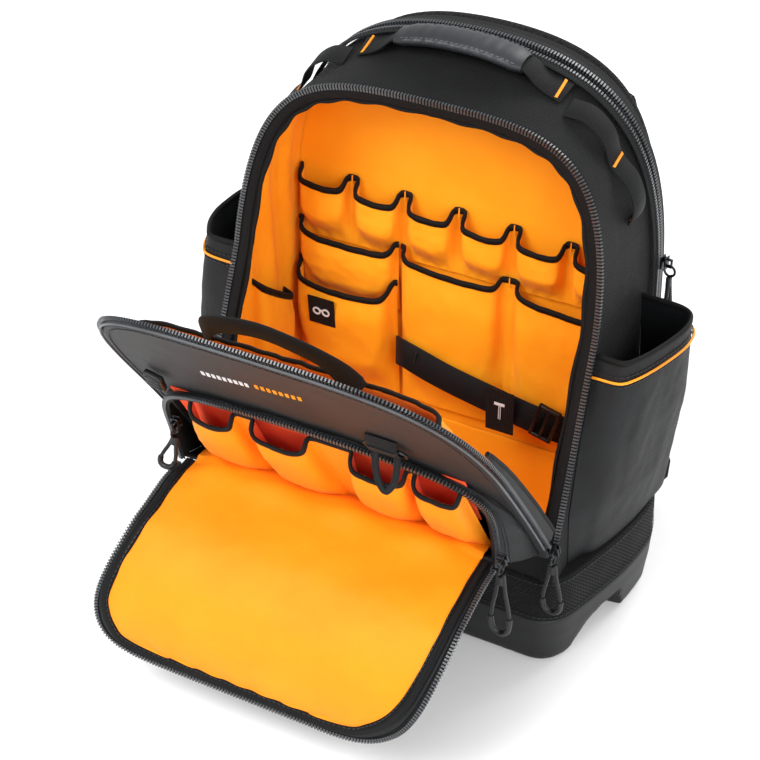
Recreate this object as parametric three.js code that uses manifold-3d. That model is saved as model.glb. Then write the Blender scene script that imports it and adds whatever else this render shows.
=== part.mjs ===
// A tool backpack that stands by itself, shown open.
// The front door leans forward, its pocket is unzipped and the pocket flap hangs down in front.
// Units are millimetres, Z is up, the front looks along -Y, and the floor is z = 0.
import * as THREE from 'three';
import { mergeVertices } from 'three/addons/utils/BufferGeometryUtils.js';
import Module from 'manifold-3d';

const wasm = await Module();
wasm.setup();

// Sizes of the moulded base and the woven band above it
const trayHeight = 50;
const trayWall = 4.5;
const trayFloor = 5;
const baseFrontY = -134;
const baseRearY = 127;
const baseFrontHalf = 150;
const baseSideHalf = 207;
const bandTop = 95;
const bandWall = 2.5;
const seamGap = 0.4;

// Sizes of the body
const sillZ = 129;
const frontFaceY = -131;
const kneeZ = 300;
const frontTopZ = 458;
const rearTopZ = 480;
const frontLean = 0.4;
const upperLean = 0.22;
const rearZipY = 83.4;
const backFaceY = 129.4;
const rearLean = -0.08;
const clothWall = 2.5;
const flangeWidth = 13;
const liningWall = 1.4;
const dividerY = 34;
const dividerWall = 6;

// Half widths of the body: at the bottom, at the knee of the arch, and the arch's handles
const archTable = {
  front: { low: 171.5, knee: 166.5, top: frontTopZ, rise: 158, crown: 104.5 },
  rear: { low: 171, knee: 168, top: rearTopZ, rise: 120, crown: 128.4 },
  back: { low: 146, knee: 152, top: rearTopZ, rise: 120, crown: 126 },
};

// Sizes of the front door and its pocket
const doorTilt = 0.563;
const doorBend = 0.000334;
const doorPad = 6;
const hingeY = -199;
const hingeZ = 160;
const zipRadius = 2.3;
const slimZipRadius = 1.9;

// Colours
const black = { color: 0x1c1e21, roughness: 0.82, metalness: 0 };
const smoothBlack = { color: 0x2a2c2f, roughness: 0.6, metalness: 0 };
const orange = { color: 0xff9a10, roughness: 0.7, metalness: 0 };
const moulded = { color: 0x232427, roughness: 0.45, metalness: 0 };
const gripGrey = { color: 0x3c3f42, roughness: 0.5, metalness: 0 };
const darkMetal = { color: 0x2e3033, roughness: 0.3, metalness: 0.9 };

const bag = new THREE.Group();
bag.name = 'tool_backpack';

function add(name, geometry, look) {
  const mesh = new THREE.Mesh(geometry, new THREE.MeshStandardMaterial(look));
  mesh.name = name;
  mesh.material.name = name;
  bag.add(mesh);
  return mesh;
}

function volumeOf(points, faces) {
  let sum = 0;
  for (const [a, b, c] of faces) {
    sum += points[a].dot(new THREE.Vector3().crossVectors(points[b], points[c])) / 6;
  }
  return sum;
}

// A closed surface, with its faces turned outwards if they all point in
function meshFrom(points, faces) {
  const flip = volumeOf(points, faces) < 0;
  const order = flip ? faces.map(([a, b, c]) => [a, c, b]) : faces;
  const geometry = new THREE.BufferGeometry();
  const places = points.flatMap((p) => [p.x, p.y, p.z]);
  geometry.setAttribute('position', new THREE.Float32BufferAttribute(places, 3));
  geometry.setIndex(order.flat());
  return geometry;
}

// The triangles that close a loop, found on the flat plane that it lies nearest to
function capOf(loop) {
  const normal = new THREE.Vector3();
  loop.forEach((p, i) => {
    const q = loop[(i + 1) % loop.length];
    normal.x += (p.y - q.y) * (p.z + q.z);
    normal.y += (p.z - q.z) * (p.x + q.x);
    normal.z += (p.x - q.x) * (p.y + q.y);
  });
  const drop = ['x', 'y', 'z'].sort((a, b) => Math.abs(normal[b]) - Math.abs(normal[a]))[0];
  const [u, v] = { x: ['y', 'z'], y: ['z', 'x'], z: ['x', 'y'] }[drop];
  return THREE.ShapeUtils.triangulateShape(loop.map((p) => new THREE.Vector2(p[u], p[v])), []);
}

// A closed solid from loops of points with the same count. Its two ends are closed by strips between
// mirrored points where strips is set, and otherwise by flat triangles.
function stack(loops, strips = false) {
  const count = loops[0].length;
  const points = loops.flat();
  const faces = [];
  for (let r = 0; r + 1 < loops.length; r += 1) {
    for (let i = 0; i < count; i += 1) {
      const j = (i + 1) % count;
      const a = r * count + i;
      const b = r * count + j;
      faces.push([a, b, b + count], [a, b + count, a + count]);
    }
  }
  const last = (loops.length - 1) * count;
  if (strips) {
    // Mirrored loops: point i on the right pairs with point count - 1 - i on the left.
    for (let i = 0; i + 1 < count / 2; i += 1) {
      const j = count - 1 - i;
      if (j - 1 > i + 1) {
        faces.push([i, j, j - 1], [i, j - 1, i + 1]);
        faces.push([last + i, last + j - 1, last + j], [last + i, last + i + 1, last + j - 1]);
      } else {
        faces.push([i, j, i + 1]);
        faces.push([last + i, last + i + 1, last + j]);
      }
    }
  } else {
    capOf(loops[0]).forEach(([a, b, c]) => faces.push([a, c, b]));
    capOf(loops[loops.length - 1]).forEach(([a, b, c]) => faces.push([last + a, last + b, last + c]));
    return orient(points, faces);
  }
  return meshFrom(points, faces);
}

// Makes every face agree with its neighbour, then turns the whole outwards.
function orient(points, faces) {
  const edges = new Map();
  faces.forEach((face, f) => {
    face.forEach((a, k) => {
      const b = face[(k + 1) % 3];
      const key = a < b ? `${a}_${b}` : `${b}_${a}`;
      if (!edges.has(key)) edges.set(key, []);
      edges.get(key).push(f);
    });
  });
  const done = new Array(faces.length).fill(false);
  const queue = [0];
  done[0] = true;
  while (queue.length) {
    const f = queue.pop();
    const face = faces[f];
    face.forEach((a, k) => {
      const b = face[(k + 1) % 3];
      const key = a < b ? `${a}_${b}` : `${b}_${a}`;
      for (const g of edges.get(key)) {
        if (done[g]) continue;
        done[g] = true;
        const other = faces[g];
        const same = other.some((c, m) => c === a && other[(m + 1) % 3] === b);
        if (same) faces[g] = [other[0], other[2], other[1]];
        queue.push(g);
      }
    });
  }
  return meshFrom(points, faces);
}

// A cloth wall: a grid of points on one face and the same grid on the other face.
function wall(face, back, closed = false) {
  const rows = face.length;
  const cols = face[0].length;
  const points = [...face.flat(), ...back.flat()];
  const other = rows * cols;
  const faces = [];
  const spans = closed ? cols : cols - 1;
  for (let r = 0; r + 1 < rows; r += 1) {
    for (let i = 0; i < spans; i += 1) {
      const a = r * cols + i;
      const b = r * cols + ((i + 1) % cols);
      faces.push([a, b, b + cols], [a, b + cols, a + cols]);
      faces.push([other + a, other + b + cols, other + b]);
      faces.push([other + a, other + a + cols, other + b + cols]);
    }
  }
  for (let i = 0; i < spans; i += 1) {
    const a = i;
    const b = (i + 1) % cols;
    faces.push([a, other + b, b], [a, other + a, other + b]);
    const c = (rows - 1) * cols;
    faces.push([c + a, c + b, other + c + b], [c + a, other + c + b, other + c + a]);
  }
  if (!closed) {
    for (let r = 0; r + 1 < rows; r += 1) {
      const a = r * cols;
      faces.push([a, a + cols, other + a + cols], [a, other + a + cols, other + a]);
      const b = r * cols + cols - 1;
      faces.push([b, other + b + cols, b + cols], [b, other + b, other + b + cols]);
    }
  }
  return meshFrom(points, faces);
}

// The same wall from one grid, with the thickness put on along its own normals.
function cloth(face, thickness, closed = false) {
  const rows = face.length;
  const cols = face[0].length;
  const at = (r, i) => {
    const row = face[Math.max(0, Math.min(rows - 1, r))];
    return closed ? row[(i + cols) % cols] : row[Math.max(0, Math.min(cols - 1, i))];
  };
  const back = face.map((row, r) => row.map((p, i) => {
    const across = new THREE.Vector3().subVectors(at(r, i + 1), at(r, i - 1));
    const up = new THREE.Vector3().subVectors(at(r + 1, i), at(r - 1, i));
    const normal = new THREE.Vector3().crossVectors(across, up).normalize();
    return p.clone().addScaledVector(normal, -thickness);
  }));
  return wall(face, back, closed);
}

// A flat strap: a rectangle carried along a path, wide along the side direction
const webbingThickness = 1.8;
function strap(path, side, width, thickness, steps) {
  const curve = new THREE.CatmullRomCurve3(path.map((p) => new THREE.Vector3(...p)), false, 'centripetal');
  const loops = [];
  for (let k = 0; k <= steps; k += 1) {
    const p = curve.getPointAt(k / steps);
    const tangent = curve.getTangentAt(k / steps);
    const wanted = typeof side === 'function' ? side(k / steps) : new THREE.Vector3(...side);
    const normal = new THREE.Vector3().crossVectors(tangent, wanted).normalize();
    const across = new THREE.Vector3().crossVectors(normal, tangent).normalize();
    const w = (typeof width === 'function' ? width(k / steps) : width) / 2;
    const t = thickness / 2;
    loops.push([[w, t], [-w, t], [-w, -t], [w, -t]].map(([a, b]) => p.clone()
      .addScaledVector(across, a).addScaledVector(normal, b)));
  }
  return stack(loops);
}

// A round cord or a zip coil along a path.
function cord(path, radius, steps, sides = 6) {
  const round = new THREE.Shape();
  for (let i = 0; i < sides; i += 1) {
    const a = (i / sides) * Math.PI * 2;
    const put = i ? 'lineTo' : 'moveTo';
    round[put](radius * Math.cos(a), radius * Math.sin(a));
  }
  const points = path.map((p) => (p.isVector3 ? p : new THREE.Vector3(...p)));
  const extrudePath = new THREE.CatmullRomCurve3(points, false, 'centripetal');
  return new THREE.ExtrudeGeometry(round, { steps, extrudePath, bevelEnabled: false });
}

function boxAt(size, centre, turn = [0, 0, 0]) {
  const box = new THREE.BoxGeometry(...size);
  box.rotateX(turn[0]);
  box.rotateY(turn[1]);
  box.rotateZ(turn[2]);
  box.translate(...centre);
  return box;
}

function toSolid(geometry) {
  const bare = geometry.clone();
  bare.deleteAttribute('normal');
  bare.deleteAttribute('uv');
  const merged = mergeVertices(bare, 1e-4);
  return new wasm.Manifold(new wasm.Mesh({
    numProp: 3,
    vertProperties: new Float32Array(merged.attributes.position.array),
    triVerts: new Uint32Array(merged.index.array),
  }));
}

function fromSolid(solid) {
  const mesh = solid.getMesh();
  const geometry = new THREE.BufferGeometry();
  geometry.setAttribute('position', new THREE.Float32BufferAttribute(mesh.vertProperties, 3));
  geometry.setIndex(Array.from(mesh.triVerts));
  return geometry;
}

// The body's outline at one depth
function frontY(z) {
  const low = Math.max(0, Math.min(z, kneeZ) - sillZ);
  return frontFaceY + frontLean * low + upperLean * Math.max(0, z - kneeZ);
}

const straightSteps = 3;
const crownSteps = 10;
const bodyBottom = bandTop + seamGap;

function archPoint(arch, share) {
  const split = straightSteps / (straightSteps + crownSteps);
  if (share <= split) {
    const k = share / split;
    const z = bodyBottom + (kneeZ - bodyBottom) * k;
    return { x: arch.low + (arch.knee - arch.low) * k, z };
  }
  const k = (share - split) / (1 - split);
  const [a, b, c, d] = [(1 - k) ** 3, 3 * (1 - k) ** 2 * k, 3 * (1 - k) * k * k, k ** 3];
  const x = a * arch.knee + b * (arch.knee - 3) + c * arch.crown;
  const z = a * kneeZ + b * Math.min(kneeZ + arch.rise, arch.top - 1) + (c + d) * arch.top;
  return { x, z };
}

function depthPoint(share, depth) {
  // depth 0 is the front face, 1 the rear zip and 2 the back.
  const front = archPoint(archTable.front, share);
  const rear = archPoint(archTable.rear, share);
  const back = archPoint(archTable.back, share);
  const ends = [
    [front.x, frontY(front.z), front.z],
    [rear.x, rearZipY + rearLean * (rear.z - bodyBottom), rear.z],
    [back.x, backFaceY + rearLean * (back.z - bodyBottom), back.z],
  ];
  const low = depth < 1 ? 0 : 1;
  const k = depth - low;
  const [a, b] = [ends[low], ends[low + 1]];
  return new THREE.Vector3(...a.map((value, i) => value + (b[i] - value) * k));
}

function insetPoint(share, depth, inset) {
  const step = 0.01;
  const a = depthPoint(Math.max(0, share - step), depth);
  const b = depthPoint(Math.min(1, share + step), depth);
  const run = new THREE.Vector2(b.x - a.x, b.z - a.z).normalize();
  const p = depthPoint(share, depth);
  if (share >= 1) run.set(-1, 0);
  return new THREE.Vector3(p.x - run.y * inset, p.y, p.z + run.x * inset);
}

const straightShare = straightSteps / (straightSteps + crownSteps);
const sillShare = straightShare * (sillZ - bodyBottom) / (kneeZ - bodyBottom);
const shares = Array.from({ length: straightSteps + crownSteps + 1 }, (_, i) => (
  i === 1 ? sillShare : i / (straightSteps + crownSteps)));

// A whole loop, right bottom over the crown to left bottom
function loopOf(right) {
  const left = right.slice(0, -1).reverse().map((p) => new THREE.Vector3(-p.x, p.y, p.z));
  return [...right, ...left];
}

function section(depth, inset, move = 0, bottom = null) {
  return loopOf(shares.map((share) => {
    const p = insetPoint(share, depth, inset);
    p.y += move;
    if (share === 0 && bottom !== null) p.z = bottom;
    return p;
  }));
}

function sectionBehind(move, inset, bottom = null) {
  // The front face's outline moved back along the body's sides
  return loopOf(shares.map((share) => {
    const a = depthPoint(share, 0);
    const b = depthPoint(share, 1);
    const p = insetPoint(share, move / (b.y - a.y), inset);
    if (share === 0 && bottom !== null) p.z = bottom;
    return p;
  }));
}

function sectionAtY(y, inset, bottom = null) {
  return loopOf(shares.map((share) => {
    const a = depthPoint(share, 0);
    const b = depthPoint(share, 1);
    const p = insetPoint(share, (y - a.y) / (b.y - a.y), inset);
    p.y = y;
    if (share === 0 && bottom !== null) p.z = bottom;
    return p;
  }));
}

// Main shell: the front face with its flange, the sides and the top
const zipSeam = 0.955;
const shellBlank = toSolid(stack([section(0, 0), section(0.5, 0), section(zipSeam - 0.002, 0)], true));
const shellHollow = toSolid(stack([
  sectionBehind(clothWall, clothWall, bodyBottom - 4),
  section(0.5, clothWall, 0, bodyBottom - 4),
  section(1, clothWall, 0, bodyBottom - 4),
], true));
const mouthRight = shares.map((share) => {
  const p = insetPoint(share, 0, flangeWidth);
  p.z = Math.max(p.z, sillZ);
  return p;
});
const mouthCut = (near, far) => toSolid(stack([near, far].map((y) => loopOf(mouthRight
  .map((p, i) => new THREE.Vector3(p.x, y, i === 0 ? sillZ : Math.max(p.z, sillZ + i * 0.01))))), true));
const mouth = mouthCut(-180, 20);
add('main_shell', fromSolid(shellBlank.subtract(shellHollow).subtract(mouth)), black);

// Lining inside the main shell
const liningOut = clothWall + 1.2;
const liningIn = liningOut + liningWall;
const liningBlank = toSolid(stack([
  sectionBehind(liningOut, liningOut),
  sectionAtY(dividerY - seamGap, liningOut),
], true));
const liningHollow = toSolid(stack([
  sectionBehind(liningIn, liningIn, bodyBottom - 4),
  sectionAtY(dividerY + 6, liningIn, bodyBottom - 4),
], true));
const mouthWide = toSolid(stack([-180, 20].map((y) => loopOf(mouthRight.map((p, i) => new THREE.Vector3(
  Math.max(p.x - 0.5, 0), y, i === 0 ? sillZ : Math.max(p.z - 0.5, sillZ + i * 0.01))))), true));
add('lining', fromSolid(liningBlank.subtract(liningHollow).subtract(mouthWide)), orange);

// Divider between the main and the rear compartment, faced in orange
const dividerFaces = [dividerY, dividerY + dividerWall].map((y) => sectionAtY(y, liningOut));
add('back_wall', stack(dividerFaces, true), orange);

// Rear shell and the padded back
add('rear_shell', fromSolid(toSolid(stack([
  section(zipSeam + 0.002, 0), section(1, 0), section(1.7, 0),
], true)).subtract(toSolid(stack([
  section(zipSeam - 0.05, clothWall, 0, bodyBottom - 4),
  section(1, clothWall, 0, bodyBottom - 4),
  section(1.8, clothWall, 0, bodyBottom - 4),
], true)))), black);
add('back_panel', stack([
  section(1.7, 0, seamGap), section(1.95, 0), section(2, 6, 1),
], true), black);

// Zip coils of the body
function zipPath(depth, lift, start, forward) {
  const first = insetPoint(start, depth, -lift);
  first.y -= forward;
  const rest = shares.filter((share) => share > start + 0.01).map((share) => {
    const p = insetPoint(share, depth, -lift);
    p.y -= forward;
    return p;
  });
  return loopOf([first, ...rest]);
}
const zipStart = sillShare + 0.008;
add('main_zip', cord(zipPath(0, 0.5, zipStart, zipRadius + 0.9), zipRadius, 25, 4), smoothBlack);
add('rear_zip_front', cord(zipPath(zipSeam, zipRadius + 1.3, 0.02, 0), zipRadius, 26, 4), smoothBlack);
add('rear_zip_rear', cord(zipPath(1.16, zipRadius + 1.2, 0.02, 0), zipRadius, 26, 4), smoothBlack);

// Plan of the moulded base, from the middle of its front round the right side to the rear and back
const baseCorner = new THREE.Vector2(baseSideHalf - 49, baseRearY - 15);
function basePlan(inset) {
  const v = (x, y) => new THREE.Vector2(x, y);
  const front = v(baseFrontHalf, baseFrontY);
  const cornerEnd = v(baseFrontHalf + 34, baseFrontY + 28);
  const widest = v(baseSideHalf, 12);
  const rearEnd = v(baseSideHalf - 77, baseRearY);
  const corner = new THREE.QuadraticBezierCurve(front, v(baseFrontHalf + 26, baseFrontY), cornerEnd);
  const side = new THREE.CubicBezierCurve(cornerEnd, v(cornerEnd.x + 0.52 * (baseSideHalf - cornerEnd.x), -66),
    v(baseSideHalf, -30), widest);
  const rearSide = new THREE.CubicBezierCurve(widest, v(baseSideHalf - 2, 36),
    v(baseSideHalf - 23, baseRearY - 51), baseCorner);
  const rearCorner = new THREE.QuadraticBezierCurve(baseCorner, v(baseSideHalf - 58, baseRearY - 2.5), rearEnd);
  const rear = new THREE.LineCurve(rearEnd, v(0, baseRearY));
  const list = [v(0, baseFrontY), v(baseFrontHalf / 2, baseFrontY)];
  for (const [curve, count] of [[corner, 4], [side, 5], [rearSide, 4], [rearCorner, 2]]) {
    for (let i = 0; i < count; i += 1) list.push(curve.getPoint(i / count));
  }
  list.push(rear.getPoint(0), rear.getPoint(0.5));
  list.push(v(0, baseRearY));
  const loop = [...list, ...list.slice(1, -1).reverse().map((p) => v(-p.x, p.y))];
  return loop.map((p, i) => {
    const a = loop[(i + loop.length - 1) % loop.length];
    const b = loop[(i + 1) % loop.length];
    const run = v(b.x - a.x, b.y - a.y).normalize();
    return v(p.x - run.y * inset, p.y + run.x * inset);
  });
}
function planLoop(inset, z) {
  return basePlan(inset).map((p) => new THREE.Vector3(p.x, p.y, z));
}

// Moulded tray with a relief between the feet on each side
const trayRows = [[0, 7], [6, 3.5], [30, 1], [trayHeight, 0]];
const trayBlank = toSolid(stack(trayRows.map(([z, inset]) => planLoop(inset, z))));
const trayHollow = toSolid(stack([
  planLoop(12, trayFloor), planLoop(trayWall + 1, 12), planLoop(trayWall, trayHeight + 2),
]));
function reliefPrism(side, grow) {
  const near = 170 - grow;
  const outline = [[-109 - grow, -3], [-84 - grow, 24 + grow], [-64, 31 + grow], [-42 + grow, 31 + grow],
    [-27 + grow, -3]];
  const loops = [near, 240].map((x) => outline.map(([y, z]) => new THREE.Vector3(side * x, y, z)));
  return toSolid(stack(loops));
}
const trayInside = trayHollow.subtract(reliefPrism(1, trayWall)).subtract(reliefPrism(-1, trayWall));
const tray = trayBlank.subtract(trayInside).subtract(reliefPrism(1, 0)).subtract(reliefPrism(-1, 0));
add('base_tray', fromSolid(tray), moulded);

// Floor tub: the lower end of the main compartment inside the tray
function roundPlan(half, nearY, farY, radius, z) {
  const loop = [];
  for (const [cx, cy, turn] of [[half - radius, nearY + radius, -90], [half - 6, farY - 6, 0],
    [-half + 6, farY - 6, 90], [-half + radius, nearY + radius, 180]]) {
    const r = cy < 0 ? radius : 6;
    for (let k = 0; k <= 4; k += 1) {
      const a = THREE.MathUtils.degToRad(turn + k * 22.5);
      loop.push(new THREE.Vector3(cx + r * Math.cos(a), cy + r * Math.sin(a), z));
    }
  }
  return loop;
}
const tubTop = bandTop;
const tubBlank = toSolid(stack([
  roundPlan(156, -118, 32, 26, 14), roundPlan(164, -126, 33, 26, 26), roundPlan(164, -126, 33, 26, tubTop)]));
const tubHollow = toSolid(stack([
  roundPlan(154.4, -116.4, 30.6, 25, 16), roundPlan(162.4, -124.4, 31.4, 25, 27),
  roundPlan(162.4, -124.4, 31.4, 25, tubTop + 3)]));
add('floor_tub', fromSolid(tubBlank.subtract(tubHollow)), orange);

// Coarse woven band between the tray and the body, with a ledge that closes the base round the tub
const bandSkin = toSolid(wall(
  [planLoop(0.4, trayHeight + seamGap), planLoop(1, 72), planLoop(2.5, bandTop)],
  [planLoop(0.4 + bandWall, trayHeight + seamGap), planLoop(1 + bandWall, 72),
    planLoop(2.5 + bandWall, bandTop)],
  true));
const ledge = toSolid(stack([bandTop - 2, bandTop].map((z) => planLoop(3.2, z))));
const ledgeHole = toSolid(stack([bandTop - 6, bandTop + 4].map((z) => roundPlan(165, -127, 34, 26, z))));
add('base_band', fromSolid(bandSkin.add(ledge.subtract(ledgeHole))), black);

// Side pockets
function bodyHalfWidth(y, z) {
  const k = Math.max(0, Math.min(1, (z - bodyBottom) / (kneeZ - bodyBottom)));
  const front = archTable.front.low + (archTable.front.knee - archTable.front.low) * k;
  const rear = archTable.rear.low + (archTable.rear.knee - archTable.rear.low) * k;
  const farY = rearZipY + rearLean * (z - bodyBottom);
  return front + (rear - front) * (y - frontY(z)) / (farY - frontY(z));
}
const pocketTable = [
  { z: 96, frontY: -101, cornerX: 184, cornerY: -84, outerX: 203, outerY: 8, rearX: 203, rearY: 46, endY: 60 },
  { z: 148, frontY: -104, cornerX: 190, cornerY: -88, outerX: 211, outerY: 10, rearX: 209, rearY: 42, endY: 54 },
  { z: 210, frontY: -89, cornerX: 195, cornerY: -79, outerX: 218, outerY: 12, rearX: 215, rearY: 38, endY: 48 },
  { z: 262, frontY: -71, cornerX: 197, cornerY: -67, outerX: 220, outerY: 14, rearX: 215, rearY: 36, endY: 42 },
  { z: 287, frontY: -61, cornerX: 198, cornerY: -60, outerX: 219, outerY: 16, rearX: 212, rearY: 34, endY: 40 },
];
const leftPocketTable = [
  pocketTable[0],
  { z: 148, frontY: -97, cornerX: 204, cornerY: -82, outerX: 214, outerY: 8, rearX: 210, rearY: 42, endY: 54 },
  { z: 210, frontY: -80, cornerX: 213, cornerY: -66, outerX: 221, outerY: 8, rearX: 216, rearY: 42, endY: 53 },
  { z: 262, frontY: -60, cornerX: 214, cornerY: -53, outerX: 224, outerY: 6, rearX: 217, rearY: 42, endY: 52 },
  { z: 287, frontY: -50, cornerX: 213, cornerY: -47, outerX: 225, outerY: 4, rearX: 217, rearY: 42, endY: 50 },
];
const bodyGap = 0.8;
const pocketWall = 2;
function pocketArc(row, inset) {
  const start = [bodyHalfWidth(row.frontY, row.z) + bodyGap, row.frontY];
  const end = [bodyHalfWidth(row.endY, row.z) + bodyGap, row.endY];
  const middle = [(row.cornerX + row.outerX) / 2 + 3, (row.cornerY + row.outerY) / 2];
  const control = [start, [row.cornerX - 6, row.cornerY - 1.5], [row.cornerX + 1, row.cornerY + 7], middle,
    [row.outerX, row.outerY], [row.rearX, row.rearY], end];
  const points = control.map(([x, y]) => new THREE.Vector3(x, y, row.z));
  const curve = new THREE.CatmullRomCurve3(points, false, 'centripetal');
  const list = curve.getPoints(12);
  return list.map((p, i) => {
    const a = list[Math.max(0, i - 1)];
    const b = list[Math.min(list.length - 1, i + 1)];
    const run = new THREE.Vector3().subVectors(b, a).normalize();
    return new THREE.Vector3(p.x - run.y * inset, p.y + run.x * inset, p.z);
  });
}
function pocketInside(row) {
  return pocketArc(row, pocketWall).map((p) => new THREE.Vector3(
    Math.max(p.x, bodyHalfWidth(p.y, row.z) + bodyGap), p.y, p.z));
}
function pocketFloor(row, z) {
  const arc = pocketArc(row, 0.2);
  const ends = [arc[arc.length - 1].y, arc[0].y];
  for (const k of [0.33, 0.67]) {
    const y = ends[0] + (ends[1] - ends[0]) * k;
    arc.push(new THREE.Vector3(bodyHalfWidth(y, row.z) + bodyGap, y, row.z));
  }
  return arc.map((p) => new THREE.Vector3(Math.max(p.x, bodyHalfWidth(p.y, row.z) + bodyGap), p.y, z));
}
function mirrorX(geometry) {
  const copy = geometry.clone();
  copy.scale(-1, 1, 1);
  const index = Array.from(copy.index.array);
  for (let i = 0; i < index.length; i += 3) [index[i], index[i + 1]] = [index[i + 1], index[i]];
  copy.setIndex(index);
  return copy;
}
function indexed(geometry) {
  const bare = geometry.clone();
  bare.deleteAttribute('normal');
  bare.deleteAttribute('uv');
  return mergeVertices(bare, 1e-4);
}
function both(name, geometry, look) {
  add(`${name}_right`, geometry, look);
  add(`${name}_left`, mirrorX(indexed(geometry)), look);
}
function sidePocket(table) {
  const skin = toSolid(wall(table.map((row) => pocketArc(row, 0)), table.map(pocketInside)));
  const bottom = toSolid(stack([0.2, pocketWall].map((lift) => pocketFloor(table[0], table[0].z + lift))));
  return fromSolid(skin.add(bottom));
}
add('side_pocket_right', sidePocket(pocketTable), smoothBlack);
add('side_pocket_left', mirrorX(sidePocket(leftPocketTable)), smoothBlack);
const pipingDrop = 17;
function pocketPiping(table) {
  const k = 1 - pipingDrop / (table[4].z - table[3].z);
  const row = Object.fromEntries(Object.keys(table[3]).map((key) => [key,
    table[3][key] + (table[4][key] - table[3][key]) * k]));
  return indexed(cord(pocketArc(row, -2.8), 1.3, 14, 4));
}
add('side_pocket_piping_right', pocketPiping(pocketTable), orange);
add('side_pocket_piping_left', mirrorX(pocketPiping(leftPocketTable)), orange);

// Door: a padded panel on its own leaning line
function doorPlace(x, v, out) {
  const a = doorTilt + doorBend * v;
  const y = frontFaceY - seamGap - (Math.cos(doorTilt) - Math.cos(a)) / doorBend;
  const z = sillZ + (Math.sin(a) - Math.sin(doorTilt)) / doorBend;
  return new THREE.Vector3(x, y - Math.cos(a) * out, z - Math.sin(a) * out);
}
function doorHalf(inset, lowV) {
  return shares.filter((share) => share > sillShare - 1e-6).map((share, i) => {
    const p = insetPoint(share, 0, inset);
    return { x: Math.max(0, p.x), v: i ? p.z - sillZ : lowV };
  });
}
function doorLoop(inset, out, lowV = 1.5) {
  return loopOf(doorHalf(inset, lowV).map(({ x, v }) => doorPlace(x, v, out)));
}
add('door_panel', stack([
  doorLoop(4.5, 0, 0.4), doorLoop(3.2, doorPad / 2, 0.4), doorLoop(6, doorPad, 2),
], true), smoothBlack);
add('door_lining', stack([doorLoop(11, -1.8, 12), doorLoop(11, -0.4, 12)], true), orange);
const doorZipLine = loopOf(doorHalf(0, 26).map(({ x, v }) => doorPlace(x, v, 1.6)));
add('door_zip', cord(doorZipLine, zipRadius, 27, 4), smoothBlack);
// Padded lip inside the coil on the lower sides of the door, fading out upwards
const lipTop = 230;
const lipRows = Array.from({ length: 9 }, (_, i) => 24 + (lipTop - 24) * (i / 8));
function doorEdgeX(v) {
  const list = doorHalf(0, 0);
  const next = list.findIndex((p) => p.v >= v);
  const [a, b] = [list[next - 1], list[next]];
  return a.x + (b.x - a.x) * (v - a.v) / (b.v - a.v);
}
const lipGrid = (inset) => lipRows.map((v, i) => [1.1, 13].map((deep) => doorPlace(
  doorEdgeX(v) - inset, v, -(1.1 + (deep - 1.1) * Math.sqrt(1 - i / 8.6)))));
both('door_lip', wall(lipGrid(0), lipGrid(2.4)), smoothBlack);

// Front pocket on the door: a wedge that is deep at the hinge of its flap and thin at the top
const pocketRim = [
  { x: 148, y: hingeY + 2, z: hingeZ + 2 }, { x: 149, y: -205, z: 196 }, { x: 146, y: -217, z: 230 },
  { x: 132, y: -229, z: 252 }, { x: 104, y: -237, z: 265 }, { x: 55, y: -242, z: 272 }, { x: 0, y: -243, z: 274 },
];
const pocketRoot = [
  { x: 160, v: 8 }, { x: 160, v: 62 }, { x: 156, v: 112 }, { x: 142, v: 146 }, { x: 110, v: 165 },
  { x: 56, v: 174 }, { x: 0, v: 177 },
];
function rimLoop(grow, drop) {
  return loopOf(pocketRim.map((p, i) => {
    const near = pocketRim[Math.max(0, i - 1)];
    const next = pocketRim[Math.min(pocketRim.length - 1, i + 1)];
    const run = new THREE.Vector2(next.x - near.x, next.z - near.z).normalize();
    const x = Math.max(0, p.x + (p.x > 0 ? run.y * grow : 0));
    return new THREE.Vector3(x, p.y + drop, p.z - run.x * grow);
  }));
}
function rootLoop(shrink) {
  return loopOf(pocketRoot.map((p, i) => {
    const near = pocketRoot[Math.max(0, i - 1)];
    const next = pocketRoot[Math.min(pocketRoot.length - 1, i + 1)];
    const run = new THREE.Vector2(next.x - near.x, next.v - near.v).normalize();
    const x = Math.max(0, p.x - (p.x > 0 ? run.y * shrink : 0));
    return doorPlace(x, p.v + run.x * shrink, doorPad + 0.5);
  }));
}
function between(a, b, k, swell) {
  return a.map((p, i) => {
    const q = p.clone().lerp(b[i], k);
    q.x += Math.sign(q.x) * swell * Math.min(1, Math.abs(q.x) / 60);
    return q;
  });
}
// The side and top gusset is a wall between the door and the rim; the bottom closes it.
const gussetFace = [rootLoop(0), between(rootLoop(0), rimLoop(0, 0), 0.5, 3), rimLoop(0, 0)];
const gussetBack = [rootLoop(2), between(rootLoop(2), rimLoop(-2, 0), 0.5, 3), rimLoop(-2, 0)];
const gusset = toSolid(wall(gussetFace, gussetBack));
const floorEdge = (lift) => {
  const a = doorPlace(160, 8 + lift, doorPad + 0.5);
  const b = new THREE.Vector3(148, hingeY + 2, hingeZ + 2 + lift);
  const mid = a.clone().lerp(b, 0.5);
  mid.x += 3;
  return [a, mid, b];
};
const floorLower = floorEdge(0);
const floorUpper = floorEdge(2);
const mirrored = (p) => new THREE.Vector3(-p.x, p.y, p.z);
const pocketBase = toSolid(stack([
  [...floorLower, ...floorLower.slice().reverse().map(mirrored)],
  [...floorUpper, ...floorUpper.slice().reverse().map(mirrored)],
]));
add('front_pocket', fromSolid(gusset.add(pocketBase)), smoothBlack);
add('front_pocket_zip', cord(rimLoop(1.2, -2), slimZipRadius, 24, 4), smoothBlack);

// The organiser's back line runs from the door's lower face up to the rim
function doorBase(x, z, out) {
  const k = (z - hingeZ) / (262 - hingeZ);
  return new THREE.Vector3(x, -176 - 57 * k - out, z);
}

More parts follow.
